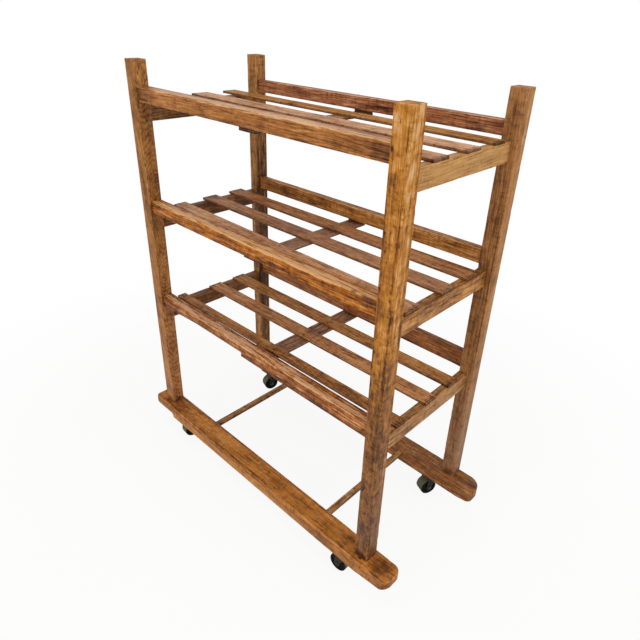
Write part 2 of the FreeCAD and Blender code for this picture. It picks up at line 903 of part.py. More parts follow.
def octagon(half, corner):
    """A square with clipped corners, half a side from its middle."""
    near = half - corner
    quarter = [(half, near), (near, half)]
    half_round = quarter + [(-x, y) for x, y in reversed(quarter)]
    return half_round + [(-x, -y) for x, y in half_round]


def caster_fork(corner):
    """The swivelling fork: a crown under its raised race, and two legs that trail to the axle."""
    side, row = corner
    label = f"caster_fork_{row}_{side}"
    body = new_body(label, (caster_x[corner], runner_y[row], 0), trail_angle[corner])
    crown = octagon(size("fork_crown_radius"), size("fork_crown_corner"))
    extrude(body, polygon(body, crown, level=crown_bottom), size("fork_gauge"))
    ear = size("fork_ear_radius")
    knee = axle_height + size("fork_ear_rise")
    foot = axle_height - ear
    outline = [
        (-size("fork_leg_top"), crown_top),
        (size("fork_leg_top"), crown_top),
        (trail + ear, knee),
        (trail + ear, foot),
        (trail - ear, foot),
        (trail - ear, knee),
    ]
    extrude(body, polygon(body, outline, role="XZ_Plane"), fork_outer, symmetric=True)
    reach = trail + size("wheel_radius")
    opening = [(-reach, 0), (reach, 0), (reach, crown_bottom), (-reach, crown_bottom)]
    sketch = polygon(body, opening, role="XZ_Plane")
    extrude(body, sketch, fork_inner, cut=True, symmetric=True)
    ease(body, lambda edge: along(edge, "y") and at(edge, z=foot), size("fork_ear_corner"), kind="Chamfer")
    race = circles(body, [(0, 0)], size("fork_race_radius"), level=crown_top)
    extrude(body, race, size("fork_race_height"))
    pin_hole = size("kingpin_radius") + size("running_clearance")
    hole = circles(body, [(0, 0)], pin_hole, level=crown_bottom)
    extrude(body, hole, race_top - crown_bottom, cut=True)
    axle_hole = size("axle_radius") + size("running_clearance")
    hole = circles(body, [(trail, axle_height)], axle_hole, role="XZ_Plane")
    extrude(body, hole, 2 * fork_outer, cut=True, symmetric=True)
    finish(body, label)


def revolve(body, half_profile):
    """Turns a profile of (radius, distance along the axle) points about the body's Y axis."""
    sketch = polygon(body, half_profile)
    feature = body.newObject("PartDesign::Revolution", f"{body.Name}_turned")
    feature.Profile = sketch
    feature.ReferenceAxis = (sketch, ["V_Axis"])
    feature.Angle = 360
    return feature


def axle_body(label, corner):
    """A body at the middle of a caster's axle, with Y along the axle."""
    side, row = corner
    turn = trail_angle[corner]
    radians = math.radians(turn.number)
    x = caster_x[corner] + trail * Size(math.cos(radians), f"cos({turn.formula} * 1 deg)")
    y = runner_y[row] + trail * Size(math.sin(radians), f"sin({turn.formula} * 1 deg)")
    return new_body(f"{label}_{row}_{side}", (x, y, axle_height), turn)


def mirrored(half):
    """A profile given from its middle outwards, completed on the other side of the middle."""
    return half + [(radius, -along_axle) for radius, along_axle in reversed(half)]


def caster_wheel(corner):
    """A solid disc wheel with a hub that nearly fills the fork."""
    side, row = corner
    body = axle_body("caster_wheel", corner)
    radius = size("wheel_radius")
    half = size("wheel_width") / 2
    hub_end = fork_inner / 2 - size("hub_gap")
    bore_radius = size("axle_radius") + size("running_clearance")
    profile = [
        (radius, half),
        (size("hub_radius"), half),
        (size("hub_radius"), hub_end),
        (bore_radius, hub_end),
    ]
    revolve(body, mirrored(profile))
    finish(body, f"caster_wheel_{row}_{side}")


def caster_axle(corner):
    """An axle bolt across the fork, with its hexagon head and nut outside the legs."""
    side, row = corner
    body = axle_body("caster_axle", corner)
    shaft = circles(body, [(0, 0)], size("axle_radius"), role="XZ_Plane")
    extrude(body, shaft, fork_outer, symmetric=True)
    radius, height, neck = size("axle_head_radius"), size("axle_head_height"), fork_outer / 2
    reach = radius * (2 / math.sqrt(3))
    upper = [(reach, 0), (reach / 2, radius), (-reach / 2, radius)]
    hexagon = upper + [(-x, -y) for x, y in upper]
    for level in (neck, -(neck + height)):
        extrude(body, polygon(body, hexagon, role="XZ_Plane", level=level), height)
    finish(body, f"caster_axle_{row}_{side}")


def kingpin(corner):
    """A pin from the plate down through the fork's crown, with a hexagon nut underneath."""
    x, y = caster_x[corner].number, runner_y[corner[1]].number
    nut_top = (crown_bottom - size("swivel_gap")).number
    nut_height = size("kingpin_nut_height").number
    nut = prism(HEXAGON, size("kingpin_nut_radius").number, nut_height, FreeCAD.Vector(x, y, nut_top - nut_height))
    place = FreeCAD.Vector(x, y, nut_top)
    return nut.fuse(Part.makeCylinder(size("kingpin_radius").number, runner_bottom.number - nut_top, place))


for corner in CORNERS:
    caster_plate(corner)
    caster_fork(corner)
    caster_axle(corner)
    caster_wheel(corner)

screws = [screw_shape(x, y) for corner in CORNERS for x, y in screw_places(corner)]
finish(group("caster_screws", screws), "caster_screws")
finish(group("caster_kingpins", [kingpin(corner) for corner in CORNERS]), "caster_kingpins")


# ---------------------------------------------------------------- check and export

doc.recompute()
for item in doc.Objects:
    if "Invalid" in item.State or "Error" in item.State:
        raise RuntimeError(f"{item.Label} did not build: {item.State}")
for item in finished:
    if item.Shape.isNull() or not item.Shape.isValid() or item.Shape.Volume <= 0:
        raise RuntimeError(f"{item.Label} has no valid solid")

os.makedirs("parts", exist_ok=True)
for item in finished:
    item.Shape.exportStep(f"parts/{item.Label}.step")
print(f"{len(finished)} pieces written")
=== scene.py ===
"""Looks of a bakery bread rack: old oiled oak, cut nails and black iron casters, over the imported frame."""

import json
import math
import random

import bmesh
import bpy
import numpy as np
from mathutils import Matrix, Vector


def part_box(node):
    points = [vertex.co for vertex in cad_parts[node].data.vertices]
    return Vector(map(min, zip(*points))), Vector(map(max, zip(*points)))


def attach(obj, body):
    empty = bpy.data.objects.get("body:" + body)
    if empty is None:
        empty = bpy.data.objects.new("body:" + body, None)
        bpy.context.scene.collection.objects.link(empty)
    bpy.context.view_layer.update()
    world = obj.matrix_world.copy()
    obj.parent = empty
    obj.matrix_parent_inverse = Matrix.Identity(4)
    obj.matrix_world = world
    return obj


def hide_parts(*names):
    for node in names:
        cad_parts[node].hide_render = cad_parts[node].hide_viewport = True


MM = 0.001
WELD = 0.01 * MM  # points nearer than this are one point
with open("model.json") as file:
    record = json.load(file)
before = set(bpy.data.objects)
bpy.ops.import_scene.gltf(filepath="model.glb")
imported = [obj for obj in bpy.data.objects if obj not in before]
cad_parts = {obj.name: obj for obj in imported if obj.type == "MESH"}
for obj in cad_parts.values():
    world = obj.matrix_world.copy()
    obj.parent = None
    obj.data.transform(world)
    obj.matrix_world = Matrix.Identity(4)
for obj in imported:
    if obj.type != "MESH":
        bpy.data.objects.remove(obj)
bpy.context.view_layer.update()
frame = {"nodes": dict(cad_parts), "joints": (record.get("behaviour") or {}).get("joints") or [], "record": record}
nodes = frame["nodes"]
slots = {part["node"]: part["material_slot"] for part in frame["record"]["subparts"]}
body_of = {
    node: body
    for body, members in frame["record"]["behaviour"]["bodies"].items()
    for node in members
}


def mm(*lengths):
    """Lengths in mm as a tuple in metres."""
    return tuple(length * MM for length in lengths)


# ---------------------------------------------------------------- node trees


class Value:
    """One output in a node tree. Sums and products of values lay down Math nodes."""

    def __init__(self, graph, socket):
        self.graph, self.socket = graph, socket

    def math(self, operation, *others):
        inputs = {index: other for index, other in enumerate((self, *others))}
        return self.graph.node("ShaderNodeMath", {"operation": operation}, inputs)

    def __add__(self, other):
        return self.math("ADD", other)

    def __mul__(self, other):
        return self.math("MULTIPLY", other)

    def __sub__(self, other):
        return self.math("SUBTRACT", other)

    def __rsub__(self, other):
        return self.graph.node("ShaderNodeMath", {"operation": "SUBTRACT"}, {0: other, 1: self})

    def __pow__(self, other):
        return self.math("POWER", other)

    __radd__, __rmul__ = __add__, __mul__

    def highest(self, other):
        return self.math("MAXIMUM", other)

    def step(self, low, high):
        """A smooth rise from 0 at low to 1 at high."""
        settings = {"interpolation_type": "SMOOTHSTEP"}
        return self.graph.node("ShaderNodeMapRange", settings, {0: self, 1: low, 2: high})


class Graph:
    """A node tree that is written through one method."""

    def __init__(self, tree):
        self.tree = tree

    def node(self, kind, settings=None, inputs=None, output=0):
        made = self.tree.nodes.new(kind)
        for name, setting in (settings or {}).items():
            setattr(made, name, setting)
        for name, given in (inputs or {}).items():
            if isinstance(given, Value):
                self.tree.links.new(given.socket, made.inputs[name])
            else:
                made.inputs[name].default_value = given
        return Value(self, made.outputs[output]) if made.outputs else None

    def vector(self, x, y, z):
        return self.node("ShaderNodeCombineXYZ", inputs={0: x, 1: y, 2: z})

    def noise(self, vector, scale=1.0, detail=2.0, roughness=0.5, distortion=0.0, output=0):
        inputs = {"Scale": scale, "Detail": detail, "Roughness": roughness, "Distortion": distortion}
        return self.node("ShaderNodeTexNoise", {}, {"Vector": vector, **inputs}, output)

    def mix(self, first, second, factor, blend="MIX"):
        """From the first colour to the second by the factor."""
        settings = {"data_type": "RGBA", "blend_type": blend}
        return self.node("ShaderNodeMix", settings, {0: factor, 6: first, 7: second}, output=2)

    def ramp(self, factor, stops):
        """A run of colours through the stops, each with its place."""
        made = self.tree.nodes.new("ShaderNodeValToRGB")
        elements = made.color_ramp.elements
        for index, (place, tint) in enumerate(stops):
            stop = elements[index] if index < 2 else elements.new(place)
            stop.position, stop.color = place, tint
        self.tree.links.new(factor.socket, made.inputs[0])
        return Value(self, made.outputs[0])

    def combine(self, operation, first, second, output=0):
        return self.node("ShaderNodeVectorMath", {"operation": operation}, {0: first, 1: second}, output)


def colour(text):
    """A colour written as rrggbb on a screen, as the linear colour that a shader takes."""
    parts = [int(text[index : index + 2], 16) / 255 for index in (0, 2, 4)]
    linear = [p / 12.92 if p <= 0.04045 else ((p + 0.055) / 1.055) ** 2.4 for p in parts]
    return (*linear, 1.0)


class Finish(Graph):
    """A material that ends in one Principled shader."""

    def __init__(self, name):
        self.material = bpy.data.materials.new(name)
        self.material.use_nodes = True
        super().__init__(self.material.node_tree)
        self.tree.nodes.clear()

    def place(self):
        return self.node("ShaderNodeTexCoord", output="Object")

    def worn(self):
        """How near a point is to a worn arris, as the mesh holds it."""
        return self.node("ShaderNodeAttribute", {"attribute_name": "worn"}, output="Fac")

    def bump(self, height, distance, strength=1.0):
        inputs = {"Height": height, "Distance": distance, "Strength": strength}
        return self.node("ShaderNodeBump", {}, inputs)

    def close(self, **inputs):
        names = {name.replace("_", " "): given for name, given in inputs.items()}
        shader = self.node("ShaderNodeBsdfPrincipled", {}, names)
        self.node("ShaderNodeOutputMaterial", {}, {"Surface": shader})
        return self.material


# ---------------------------------------------------------------- wood

AXES = {"x": 0, "y": 1, "z": 2}
# turns that bring a board's length onto the pattern's X
GRAIN_TURN = {"x": (0, 0, 0), "y": (0, 0, -math.pi / 2), "z": (0, math.pi / 2, 0)}
SHIFT = 0.5  # how far, in metres, a board's pattern may be moved to make it its own
CROOKED = 0.012  # how far, in radians, a board's grain may run off its length
PITH_REACH = (0.055, 0.12)  # how far the tree's heart lies from the board
RING_COUNT = 235  # growth rings in a metre
RING_SWAY, RING_LEAN = 0.05, 0.025  # how far the rings wander, and the middle of that
EDGE_SHADE = (0.36, 0.27, 0.24, 1)  # painted shade: how much darker the sides of a thin board are drawn, for the shade between and under the slats
UNDERSIDE = 0.35  # how much of that painted shade a thin board's underside has
RELIEF = 0.8 * MM  # height of the grain to the touch
OILED = 0.22  # how much light oiled wood mirrors
BRUISE, HOLE = "4c3030", "1c0d08"
PALE_LEAST, PALE_SHREDS = 0.26, 0.46  # how far a pale mark lifts the tone, evenly and in shreds
STAIN_AND_SHADE_DEPTH = 0.42  # how far a stain mark lowers the tone, both real stain and painted shade
SHAKEN, LITTLE_SHAKEN = (0.02, 0.02, 0.02), (0.004, 0.004, 0.004)  # how ragged marks are, in metres

# patterns that are drawn out along the grain: changes in a metre along it and across it
SWAY, DRIFT, UNEVEN_RINGS = (1.7, 7), (2.3, 9), (9, 60)
FIBRE, STRAND, BAND, FIGURE = (16, 330), (5, 120), (1.1, 24), (34, 62)
PORE, VEIN, RAY = (30, 300), (3.2, 140), (95, 34)
# patterns that run the same in every direction: changes in a metre
CLOUD, MOTTLE, RAGGED = 9, 75, 38
# how strongly each pattern tells in a board's tone, and its middle tone, roughness and slope of grain,
# where the board's own look says nothing else
PLAIN_OAK = {
    "grain": 1.3, "fibre": 1.1, "strand": 0.4, "band": 0.45, "cloud": 0.5, "mottle": 0.35, "figure": 0.15,
    "ring": 0.08, "pore": 0.2, "vein": 0.12, "ray": 0.1, "rub": 0.12, "grime": 0.2, "tone": 0.58,
    "rough": 0.42, "slope": 0,
}


def marked(finish, place, marks):
    """The strongest of several soft-edged ellipsoids: (centre, radii, strength) in metres."""
    total = None
    for centre, radii, strength in marks:
        off = finish.combine("SUBTRACT", place, tuple(centre))
        off = finish.combine("MULTIPLY", off, tuple(1 / radius for radius in radii))
        far = finish.node("ShaderNodeVectorMath", {"operation": "LENGTH"}, {0: off}, output=1)
        mask = far.step(1.0, 0.3) * strength
        total = mask if total is None else total.highest(mask)
    return total


def oak(name, centre, grain, look, seed, marks):
    """Oiled oak sawn from a log: rings about a far pith, open pores, strands, stains and rubbed arrises, with
    painted shade and painted highlight among its marks.
    """
    draw = random.Random(seed)
    finish = Finish(name)
    place = finish.place()
    wander = [draw.uniform(-SHIFT, SHIFT) for _ in range(3)]
    turn = [angle + draw.uniform(-CROOKED, CROOKED) for angle in GRAIN_TURN[grain]]
    turn[1] += look["slope"]
    middle = finish.combine("SUBTRACT", place, tuple(centre))
    board = finish.node(
        "ShaderNodeMapping", {"vector_type": "POINT"},
        {"Vector": middle, "Location": wander, "Rotation": turn},
    )
    length = finish.node("ShaderNodeSeparateXYZ", inputs={0: board})
    across, through = (Value(finish, length.socket.node.outputs[index]) for index in (1, 2))

    def grown(along, round_about, **options):
        """Noise that is drawn out along the grain: changes in a metre along it and across it."""
        stretched = finish.vector(length * along, across * round_about, through * round_about)
        return finish.noise(stretched, **options)

    # growth rings
    heart = draw.uniform(*PITH_REACH)
    bearing = draw.uniform(0, 2 * math.pi)
    over = across + grown(*SWAY) * RING_SWAY - (wander[1] + heart * math.cos(bearing) + RING_LEAN)
    down = through + grown(*DRIFT) * RING_SWAY - (wander[2] + heart * math.sin(bearing) + RING_LEAN)
    reach = (over * over + down * down) ** 0.5
    ring = (reach * RING_COUNT + grown(*UNEVEN_RINGS) * 0.9).math("FRACT")
    late = ring.step(0.0, 0.12) * ring.step(0.75, 0.2)

    # strands, pores, dark veins and slow changes of tone
    fibre = grown(*FIBRE, detail=2, roughness=0.6) - 0.5
    strand = grown(*STRAND, detail=2) - 0.5
    band = grown(*BAND) - 0.5
    figure = grown(*FIGURE, detail=3, distortion=0.6) - 0.5
    pore = grown(*PORE, roughness=0.6).step(0.58, 0.72)
    vein = grown(*VEIN, detail=2, roughness=0.6).step(0.6, 0.7)
    ray = grown(*RAY, detail=2).step(0.52, 0.68)
    cloud = finish.noise(place, scale=CLOUD, detail=4, roughness=0.6)
    mottle = finish.noise(place, scale=MOTTLE, detail=4, roughness=0.65)
    worn = finish.worn()
    rub = worn * worn * mottle.step(0.35, 0.6)
    grime = worn.step(0.05, 0.45) * worn.step(0.98, 0.6) * cloud.step(0.42, 0.62)
    grain = (
        fibre * look["fibre"] + strand * look["strand"] + band * look["band"] + (cloud - 0.5) * look["cloud"]
        + (mottle - 0.5) * look["mottle"] + figure * look["figure"]
        - late * look["ring"] - pore * look["pore"] - vein * look["vein"] - ray * look["ray"]
    )
    tone = grain * look["grain"] + rub * look["rub"] - grime * look["grime"] + look["tone"]

    # stains and painted shade, pale places that are part rubbed wear and part painted highlight and light, knots
    # and cracks
    ragged = finish.noise(place, scale=RAGGED, detail=3, roughness=0.6, output=1)
    ragged = finish.combine("SUBTRACT", ragged, (0.5, 0.5, 0.5))
    shaken, fine = (
        finish.combine("ADD", place, finish.combine("MULTIPLY", ragged, most))
        for most in (SHAKEN, LITTLE_SHAKEN)
    )
    paler = marked(finish, fine, marks.get("pale", ()))
    stain = marked(finish, shaken, marks.get("stain", ()))
    if paler is not None:
        shreds = (fibre * 1.2 + strand + 0.5).step(0.38, 0.62)
        tone = tone + paler * (shreds * PALE_SHREDS + PALE_LEAST)
    if stain is not None:
        tone = tone - stain * STAIN_AND_SHADE_DEPTH
    surface = finish.ramp(tone, look["stops"])
    # the foot tint: part stain of the posts' feet, part painted shade towards the floor
    if "foot" in look:
        low, high, foot = look["foot"]
        height = finish.node("ShaderNodeSeparateXYZ", inputs={0: place}, output=2)
        surface = finish.mix(surface, foot, height.step(high, low), "MULTIPLY")
    bruise = marked(finish, shaken, marks.get("bruise", ()))
    if bruise is not None:
        surface = finish.mix(surface, colour(BRUISE), bruise * (mottle.step(0.3, 0.6) * 0.4 + 0.6))
    # painted shade on a thin board's sides and underside
    edge = finish.node("ShaderNodeAttribute", {"attribute_name": "edge"}, output="Fac")
    surface = finish.mix(surface, finish.mix(surface, EDGE_SHADE, 1.0, "MULTIPLY"), edge)
    rough = pore * 0.2 + (cloud - 0.5) * 0.4 + look["rough"]
    height = fibre * 0.9 + strand * 0.5 + mottle * 0.6 - pore * 0.7 - vein * 0.3 - late * 0.15
    if paler is not None:
        rough = rough - paler * 0.12
    hollow = marked(finish, fine, marks.get("knot", ()))
    if hollow is not None:
        surface = finish.mix(surface, colour(HOLE), hollow)
        height = height - hollow * 3
        rough = rough + hollow * 0.2
    normal = finish.bump(height, RELIEF, 0.6)
    return finish.close(Base_Color=surface, Roughness=rough, Normal=normal, Specular_IOR_Level=OILED)


# ---------------------------------------------------------------- meshes

# turns from one face to the next: those that count as flat, as an arris, and as sharp to the eye
FLAT, ARRIS_TURN, SHARP = (math.radians(angle) for angle in (1, 35, 50))
OUTSIDE = 0.4 * MM  # nothing of a piece stands further out than this beyond an outer arris
SLIVER = 0.005 * MM  # an edge shorter than this is closed up
MIDLINE_LEAST = 20 * MM  # a side wider than this is also cut along its middle
SKIN = 0.3  # mm from a thin board's upper or lower face to where the painted shade of its side begins


def welded(node):
    """A CAD node's faces, joined at their shared points."""
    work = bmesh.new()
    work.from_mesh(nodes[node].data)
    bmesh.ops.remove_doubles(work, verts=work.verts, dist=WELD)
    return work


def outer_arrises(work, least):
    """The long sharp edges that lie on the outside of a piece."""
    points = np.array([vert.co for vert in work.verts])
    found = []
    for edge in work.edges:
        if len(edge.link_faces) != 2 or edge.calc_length() < least or not edge.is_convex:
            continue
        if edge.calc_face_angle() < ARRIS_TURN:
            continue
        outward = (edge.link_faces[0].normal + edge.link_faces[1].normal).normalized()
        over = (points - np.array(edge.verts[0].co)) @ np.array(outward)
        if over.max() < OUTSIDE:
            found.append(edge)
    return found


def slices(work, axis, low, high, pitch):
    """Cuts rings across a piece, so that its arrises can waver."""
    normal = Vector([float(index == axis) for index in range(3)])
    count = max(1, round((high - low) / pitch))
    for index in range(1, count):
        at = normal * (low + (high - low) * index / count)
        everything = work.verts[:] + work.edges[:] + work.faces[:]
        bmesh.ops.bisect_plane(work, geom=everything, dist=1e-6, plane_co=at, plane_no=normal)


def in_order(parts, place):
    """Sorts a mesh's points or faces by their places, so that every run stores them alike."""
    ranked = sorted(parts, key=lambda part: tuple(place(part)))
    ranks = {part: rank for rank, part in enumerate(ranked)}
    parts.sort(key=ranks.get)


def nearness(points, segments, reach):
    """1 on the nearest segment and 0 from the reach outwards."""
    best = np.full(len(points), 1e9)
    for start, end in segments:
        along = end - start
        share = np.clip((points - start) @ along / (along @ along), 0, 1)
        best = np.minimum(best, np.linalg.norm(points - start - share[:, None] * along, axis=1))
    return np.clip(1 - best / reach, 0, 1)


def kept_inside(mesh, node):
    """Brings a mesh's points back into the box of its CAD node, and returns them."""
    points = np.clip([vert.co for vert in mesh.vertices], *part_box(node))
    mesh.vertices.foreach_set("co", points.astype(np.float32).ravel())
    return points


def adopt(piece, node):
    """Lets a piece stand for a CAD node on its body, with the node hidden."""
    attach(piece, body_of[node])
    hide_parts(node)


def show(mesh, name, material):
    piece = bpy.data.objects.new(name, mesh)
    bpy.context.scene.collection.objects.link(piece)
    piece.data.materials.clear()
    piece.data.materials.append(material)
    return piece


def eased(node, arris, least, reach, pitch=None, grain=None):
    """A copy of a CAD node with eased outer arrises, sliced along its grain, with its wear marked, and a thin
    board's sides marked for painted shade.
    """
    low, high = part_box(node)
    work = welded(node)
    bmesh.ops.dissolve_limit(work, angle_limit=FLAT, verts=work.verts, edges=work.edges)
    edges = outer_arrises(work, least)
    lines = [tuple(np.array(vert.co) for vert in edge.verts) for edge in edges]
    bmesh.ops.bevel(
        work, geom=edges, offset=arris, offset_type="OFFSET", segments=2,
        profile=0.5, affect="EDGES", clamp_overlap=False,
    )
    bmesh.ops.triangulate(work, faces=[face for face in work.faces if len(face.verts) > 4])
    if grain:
        for axis in range(3):
            if axis == AXES[grain]:
                slices(work, axis, low[axis], high[axis], pitch)
            elif high[axis] - low[axis] > MIDLINE_LEAST:
                for at in (low[axis] + reach, (low[axis] + high[axis]) / 2, high[axis] - reach):
                    slices(work, axis, 2 * at - high[axis], high[axis], high[axis] - at)
    bmesh.ops.dissolve_degenerate(work, dist=SLIVER, edges=work.edges)
    in_order(work.verts, lambda vert: vert.co)
    in_order(work.faces, lambda face: face.calc_center_median())
    mesh = bpy.data.meshes.new(node)
    work.to_mesh(mesh)
    work.free()
    points = kept_inside(mesh, node)
    # where a thin board's sides and underside take painted shade
    if slots[node] == "slat_wood":
        edge = mesh.attributes.new("edge", "FLOAT", "POINT")
        below = np.clip((high.z - points[:, 2]) / MM - SKIN, 0, 1)
        below[points[:, 2] < low.z + SKIN * MM] = UNDERSIDE
        edge.data.foreach_set("value", below.astype(np.float32))
    worn = mesh.attributes.new("worn", "FLOAT", "POINT")
    worn.data.foreach_set("value", nearness(points, lines, reach).astype(np.float32))
    mesh.shade_smooth()
    mesh.set_sharp_from_angle(angle=SHARP)
    return mesh


class Recipe(Graph):
    """A Geometry Nodes tree with named inputs, run once on an object's mesh."""

    KINDS = {"Material": "NodeSocketMaterial", "Geometry": "NodeSocketGeometry"}

    def __init__(self, name, inputs):
        super().__init__(bpy.data.node_groups.new(name, "GeometryNodeTree"))
        sockets = self.tree.interface
        sockets.new_socket("Geometry", in_out="OUTPUT", socket_type="NodeSocketGeometry")
        self.names = {}
        for label in ("Geometry", *inputs):
            kind = self.KINDS.get(label, "NodeSocketFloat")
            self.names[label] = sockets.new_socket(label, in_out="INPUT", socket_type=kind).identifier
        self.given = self.tree.nodes.new("NodeGroupInput")

    def input(self, label):
        return Value(self, self.given.outputs[label])

    def close(self, geometry):
        """Ends the tree in real geometry that carries its material."""
        real = self.node("GeometryNodeRealizeInstances", {}, {0: geometry})
        material = self.input("Material")
        done = self.node("GeometryNodeSetMaterial", {}, {"Geometry": real, "Material": material})
        self.node("NodeGroupOutput", {}, {0: done})

    def run(self, piece, **values):
        modifier = piece.modifiers.new(self.tree.name, "NODES")
        modifier.node_group = self.tree
        for label, value in values.items():
            modifier[self.names[label.replace("_", " ")]] = value
        depsgraph = bpy.context.evaluated_depsgraph_get()
        made = piece.evaluated_get(depsgraph)
        mesh = bpy.data.meshes.new_from_object(made, preserve_all_data_layers=True, depsgraph=depsgraph)
        piece.modifiers.clear()
        piece.data = mesh


WAVES, NICKS = 14, 55  # changes in a metre


def weathering():
    """Pushes a surface inwards by slow waves, and further in nicks along its worn arrises."""
    tree = Recipe("weathering", ("Unevenness", "Nick Depth", "Seed", "Material"))
    place = tree.node("GeometryNodeInputPosition")
    shifted = tree.combine("ADD", place, tree.vector(tree.input("Seed"), 0.0, 0.0))
    waves = tree.noise(shifted, scale=WAVES, detail=1).step(0.25, 0.75)
    nicks = tree.noise(shifted, scale=NICKS, detail=3, roughness=0.6).step(0.55, 0.75)
    worn = tree.node("GeometryNodeInputNamedAttribute", {"data_type": "FLOAT"}, {"Name": "worn"})
    depth = waves * tree.input("Unevenness") + nicks * tree.input("Nick Depth") * worn * worn
    normal = tree.node("GeometryNodeInputNormal")
    inwards = tree.node(
        "ShaderNodeVectorMath", {"operation": "SCALE"}, {0: normal, "Scale": depth * -1.0}
    )
    moved = tree.node(
        "GeometryNodeSetPosition", {}, {"Geometry": tree.input("Geometry"), "Offset": inwards}
    )
    tree.close(moved)
    return tree


WEATHERING = weathering()


def level_normals(piece):
    """Keeps flat faces flat to the eye beside their rounded arrises."""
    modifier = piece.modifiers.new("level_normals", "WEIGHTED_NORMAL")
    modifier.keep_sharp = True


# ---------------------------------------------------------------- the wooden pieces

# places on a board's run of tones, with what each takes of the board's own red, green and blue
TONES = (
    (0.0, (0.34, 0.27, 0.24)), (0.3, (0.74, 0.68, 0.62)), (0.5, (1.0, 1.0, 1.0)), (0.7, (1.15, 1.19, 1.25)),
)
RUBBED_AND_SHEEN = (232, 196, 160)  # red, green and blue of the palest tone: where the stain has worn off, and where pale marks paint highlight and light
OWN_SHARE, RUBBED_AND_SHEEN_SHARE = 0.35, 0.65  # of the board's colour and of that, in the palest tone


def wood(text, **more):
    """A board's run of tones about the colour of its middle one, written as rrggbb, and its look."""
    middle = [int(text[index : index + 2], 16) for index in (0, 2, 4)]
    runs = [(place, [part * share for part, share in zip(middle, shares)]) for place, shares in TONES]
    palest = [part * OWN_SHARE + bare * RUBBED_AND_SHEEN_SHARE for part, bare in zip(middle, RUBBED_AND_SHEEN)]
    stops = []
    for place, parts in (*runs, (1.0, palest)):
        stops.append((place, colour("".join(f"{min(255, round(part)):02x}" for part in parts))))
    return {**PLAIN_OAK, "stops": stops, **more}


# every board's look; foot is two heights and the tint that the post is multiplied by from the upper to the lower,
# part stain of the feet and part painted shade towards the floor
LOOKS = {
    "post_front_left": wood(
        "986430", ring=0.16, slope=0.22, grain=1.0, fibre=0.8, pore=0.1, vein=0.06, grime=0.1, rough=0.5,
        foot=(0.3, 0.9, (1.15, 1.15, 1.5, 1)),
    ),
    "post_front_right": wood(
        "9e641e", fibre=0.45, figure=0.75, vein=0.14, pore=0.1, ring=0.05, ray=0.12, grime=0.12, rough=0.48,
        foot=(0.15, 1.0, (0.56, 0.62, 1.9, 1)),
    ),
    "post_back_left": wood("986632", vein=0.2, rough=0.5),
    "post_back_right": wood(
        "9a6838", grain=1.0, fibre=0.7, vein=0.04, pore=0.1, grime=0.1, rough=0.5,
        foot=(0.2, 0.8, (0.85, 0.95, 1.5, 1)),
    ),
    "front_rail_top": wood("98602c", rub=0.3, fibre=0.9, vein=0.06, ray=0.05, rough=0.36),
    "front_rail_middle": wood("a05a0c", grain=1.6, rub=0.3, vein=0.4, pore=0.3, rough=0.34),
    "front_rail_bottom": wood("90501a", grain=1.9, rub=0.24, vein=0.2, pore=0.3, rough=0.38),
    "back_rail_top": wood("905836"), "back_rail_middle": wood("9a6228", ray=0.14),
    "back_rail_bottom": wood("8a5228"),
    "end_rail_top_right": wood("ac7e48", grain=0.6, rough=0.55),
    "end_rail_middle_right": wood("a46e34"), "end_rail_bottom_right": wood("986838"),
    # the left end rails are drawn darker than the right ones, partly as painted shade inside the rack
    "end_rail_top_left": wood("8c6034"), "end_rail_middle_left": wood("80522a"),
    "end_rail_bottom_left": wood("80522a"),
    "slat_top_front": wood("a8744a"), "slat_top_centre": wood("c28e64"), "slat_top_back": wood("a87238"),
    "slat_middle_front": wood("bc8456"), "slat_middle_centre": wood("9e6a42"),
    "slat_middle_back": wood("a0683a"),
    "slat_bottom_front": wood("ae7238"), "slat_bottom_centre": wood("b87c4a"),
    "slat_bottom_back": wood("a87038"),
    "runner_front": wood("a86a2c", grain=1.0, fibre=0.7, figure=0.4, cloud=0.9, grime=0.4),
    "runner_back": wood("865226", rough=0.45),
    "bearer": wood("8e6448"), "stretcher": wood("96683a"),
}
# the axis that a board's grain runs along
GRAIN = {"post": "z", "end": "y", "bearer": "y", "stretcher": "y"}


def family_of(node):
    return node.split("_")[0]


def look_of(node):
    return LOOKS.get(node) or LOOKS[family_of(node)]


def islands(node):
    """The separate solids of a node as arrays of points."""
    work = welded(node)
    seen, found = set(), []
    for start in work.verts:
        if start in seen:
            continue
        seen.add(start)
        members, queue = [], [start]
        while queue:
            vert = queue.pop()
            members.append(tuple(vert.co))
            for edge in vert.link_edges:
                other = edge.other_vert(vert)
                if other not in seen:
                    seen.add(other)
                    queue.append(other)
        found.append(np.array(members))
    work.free()
    return found


END_FACE = 0.05 * MM  # points nearer than this to a nail's end lie in its end face


def nail_heads(node):
    """For every nail of a group: the middle of its head's face, and whether it was driven down."""
    heads = []
    for points in islands(node):
        low, high = points.min(0), points.max(0)
        top = points[points[:, 2] > high[2] - END_FACE]
        bottom = points[points[:, 2] < low[2] + END_FACE]
        down = bool(np.ptp(top[:, 0]) > np.ptp(bottom[:, 0]))
        heads.append(((low[0] + high[0]) / 2, (low[1] + high[1]) / 2, high[2] if down else low[2], down))
    return heads


SHELVES = ("top", "middle", "bottom")
NAILS = {shelf: nail_heads(f"nails_{shelf}") for shelf in SHELVES}

# how pale the long rails' upper arrises are drawn: part rubbed wear, part painted sheen highlight
PALE_TOPS = {
    "front_rail_top": 1.0, "front_rail_middle": 1.75, "front_rail_bottom": 1.55,
    "back_rail_top": 0.9, "back_rail_middle": 0.7, "back_rail_bottom": 0.5,
}
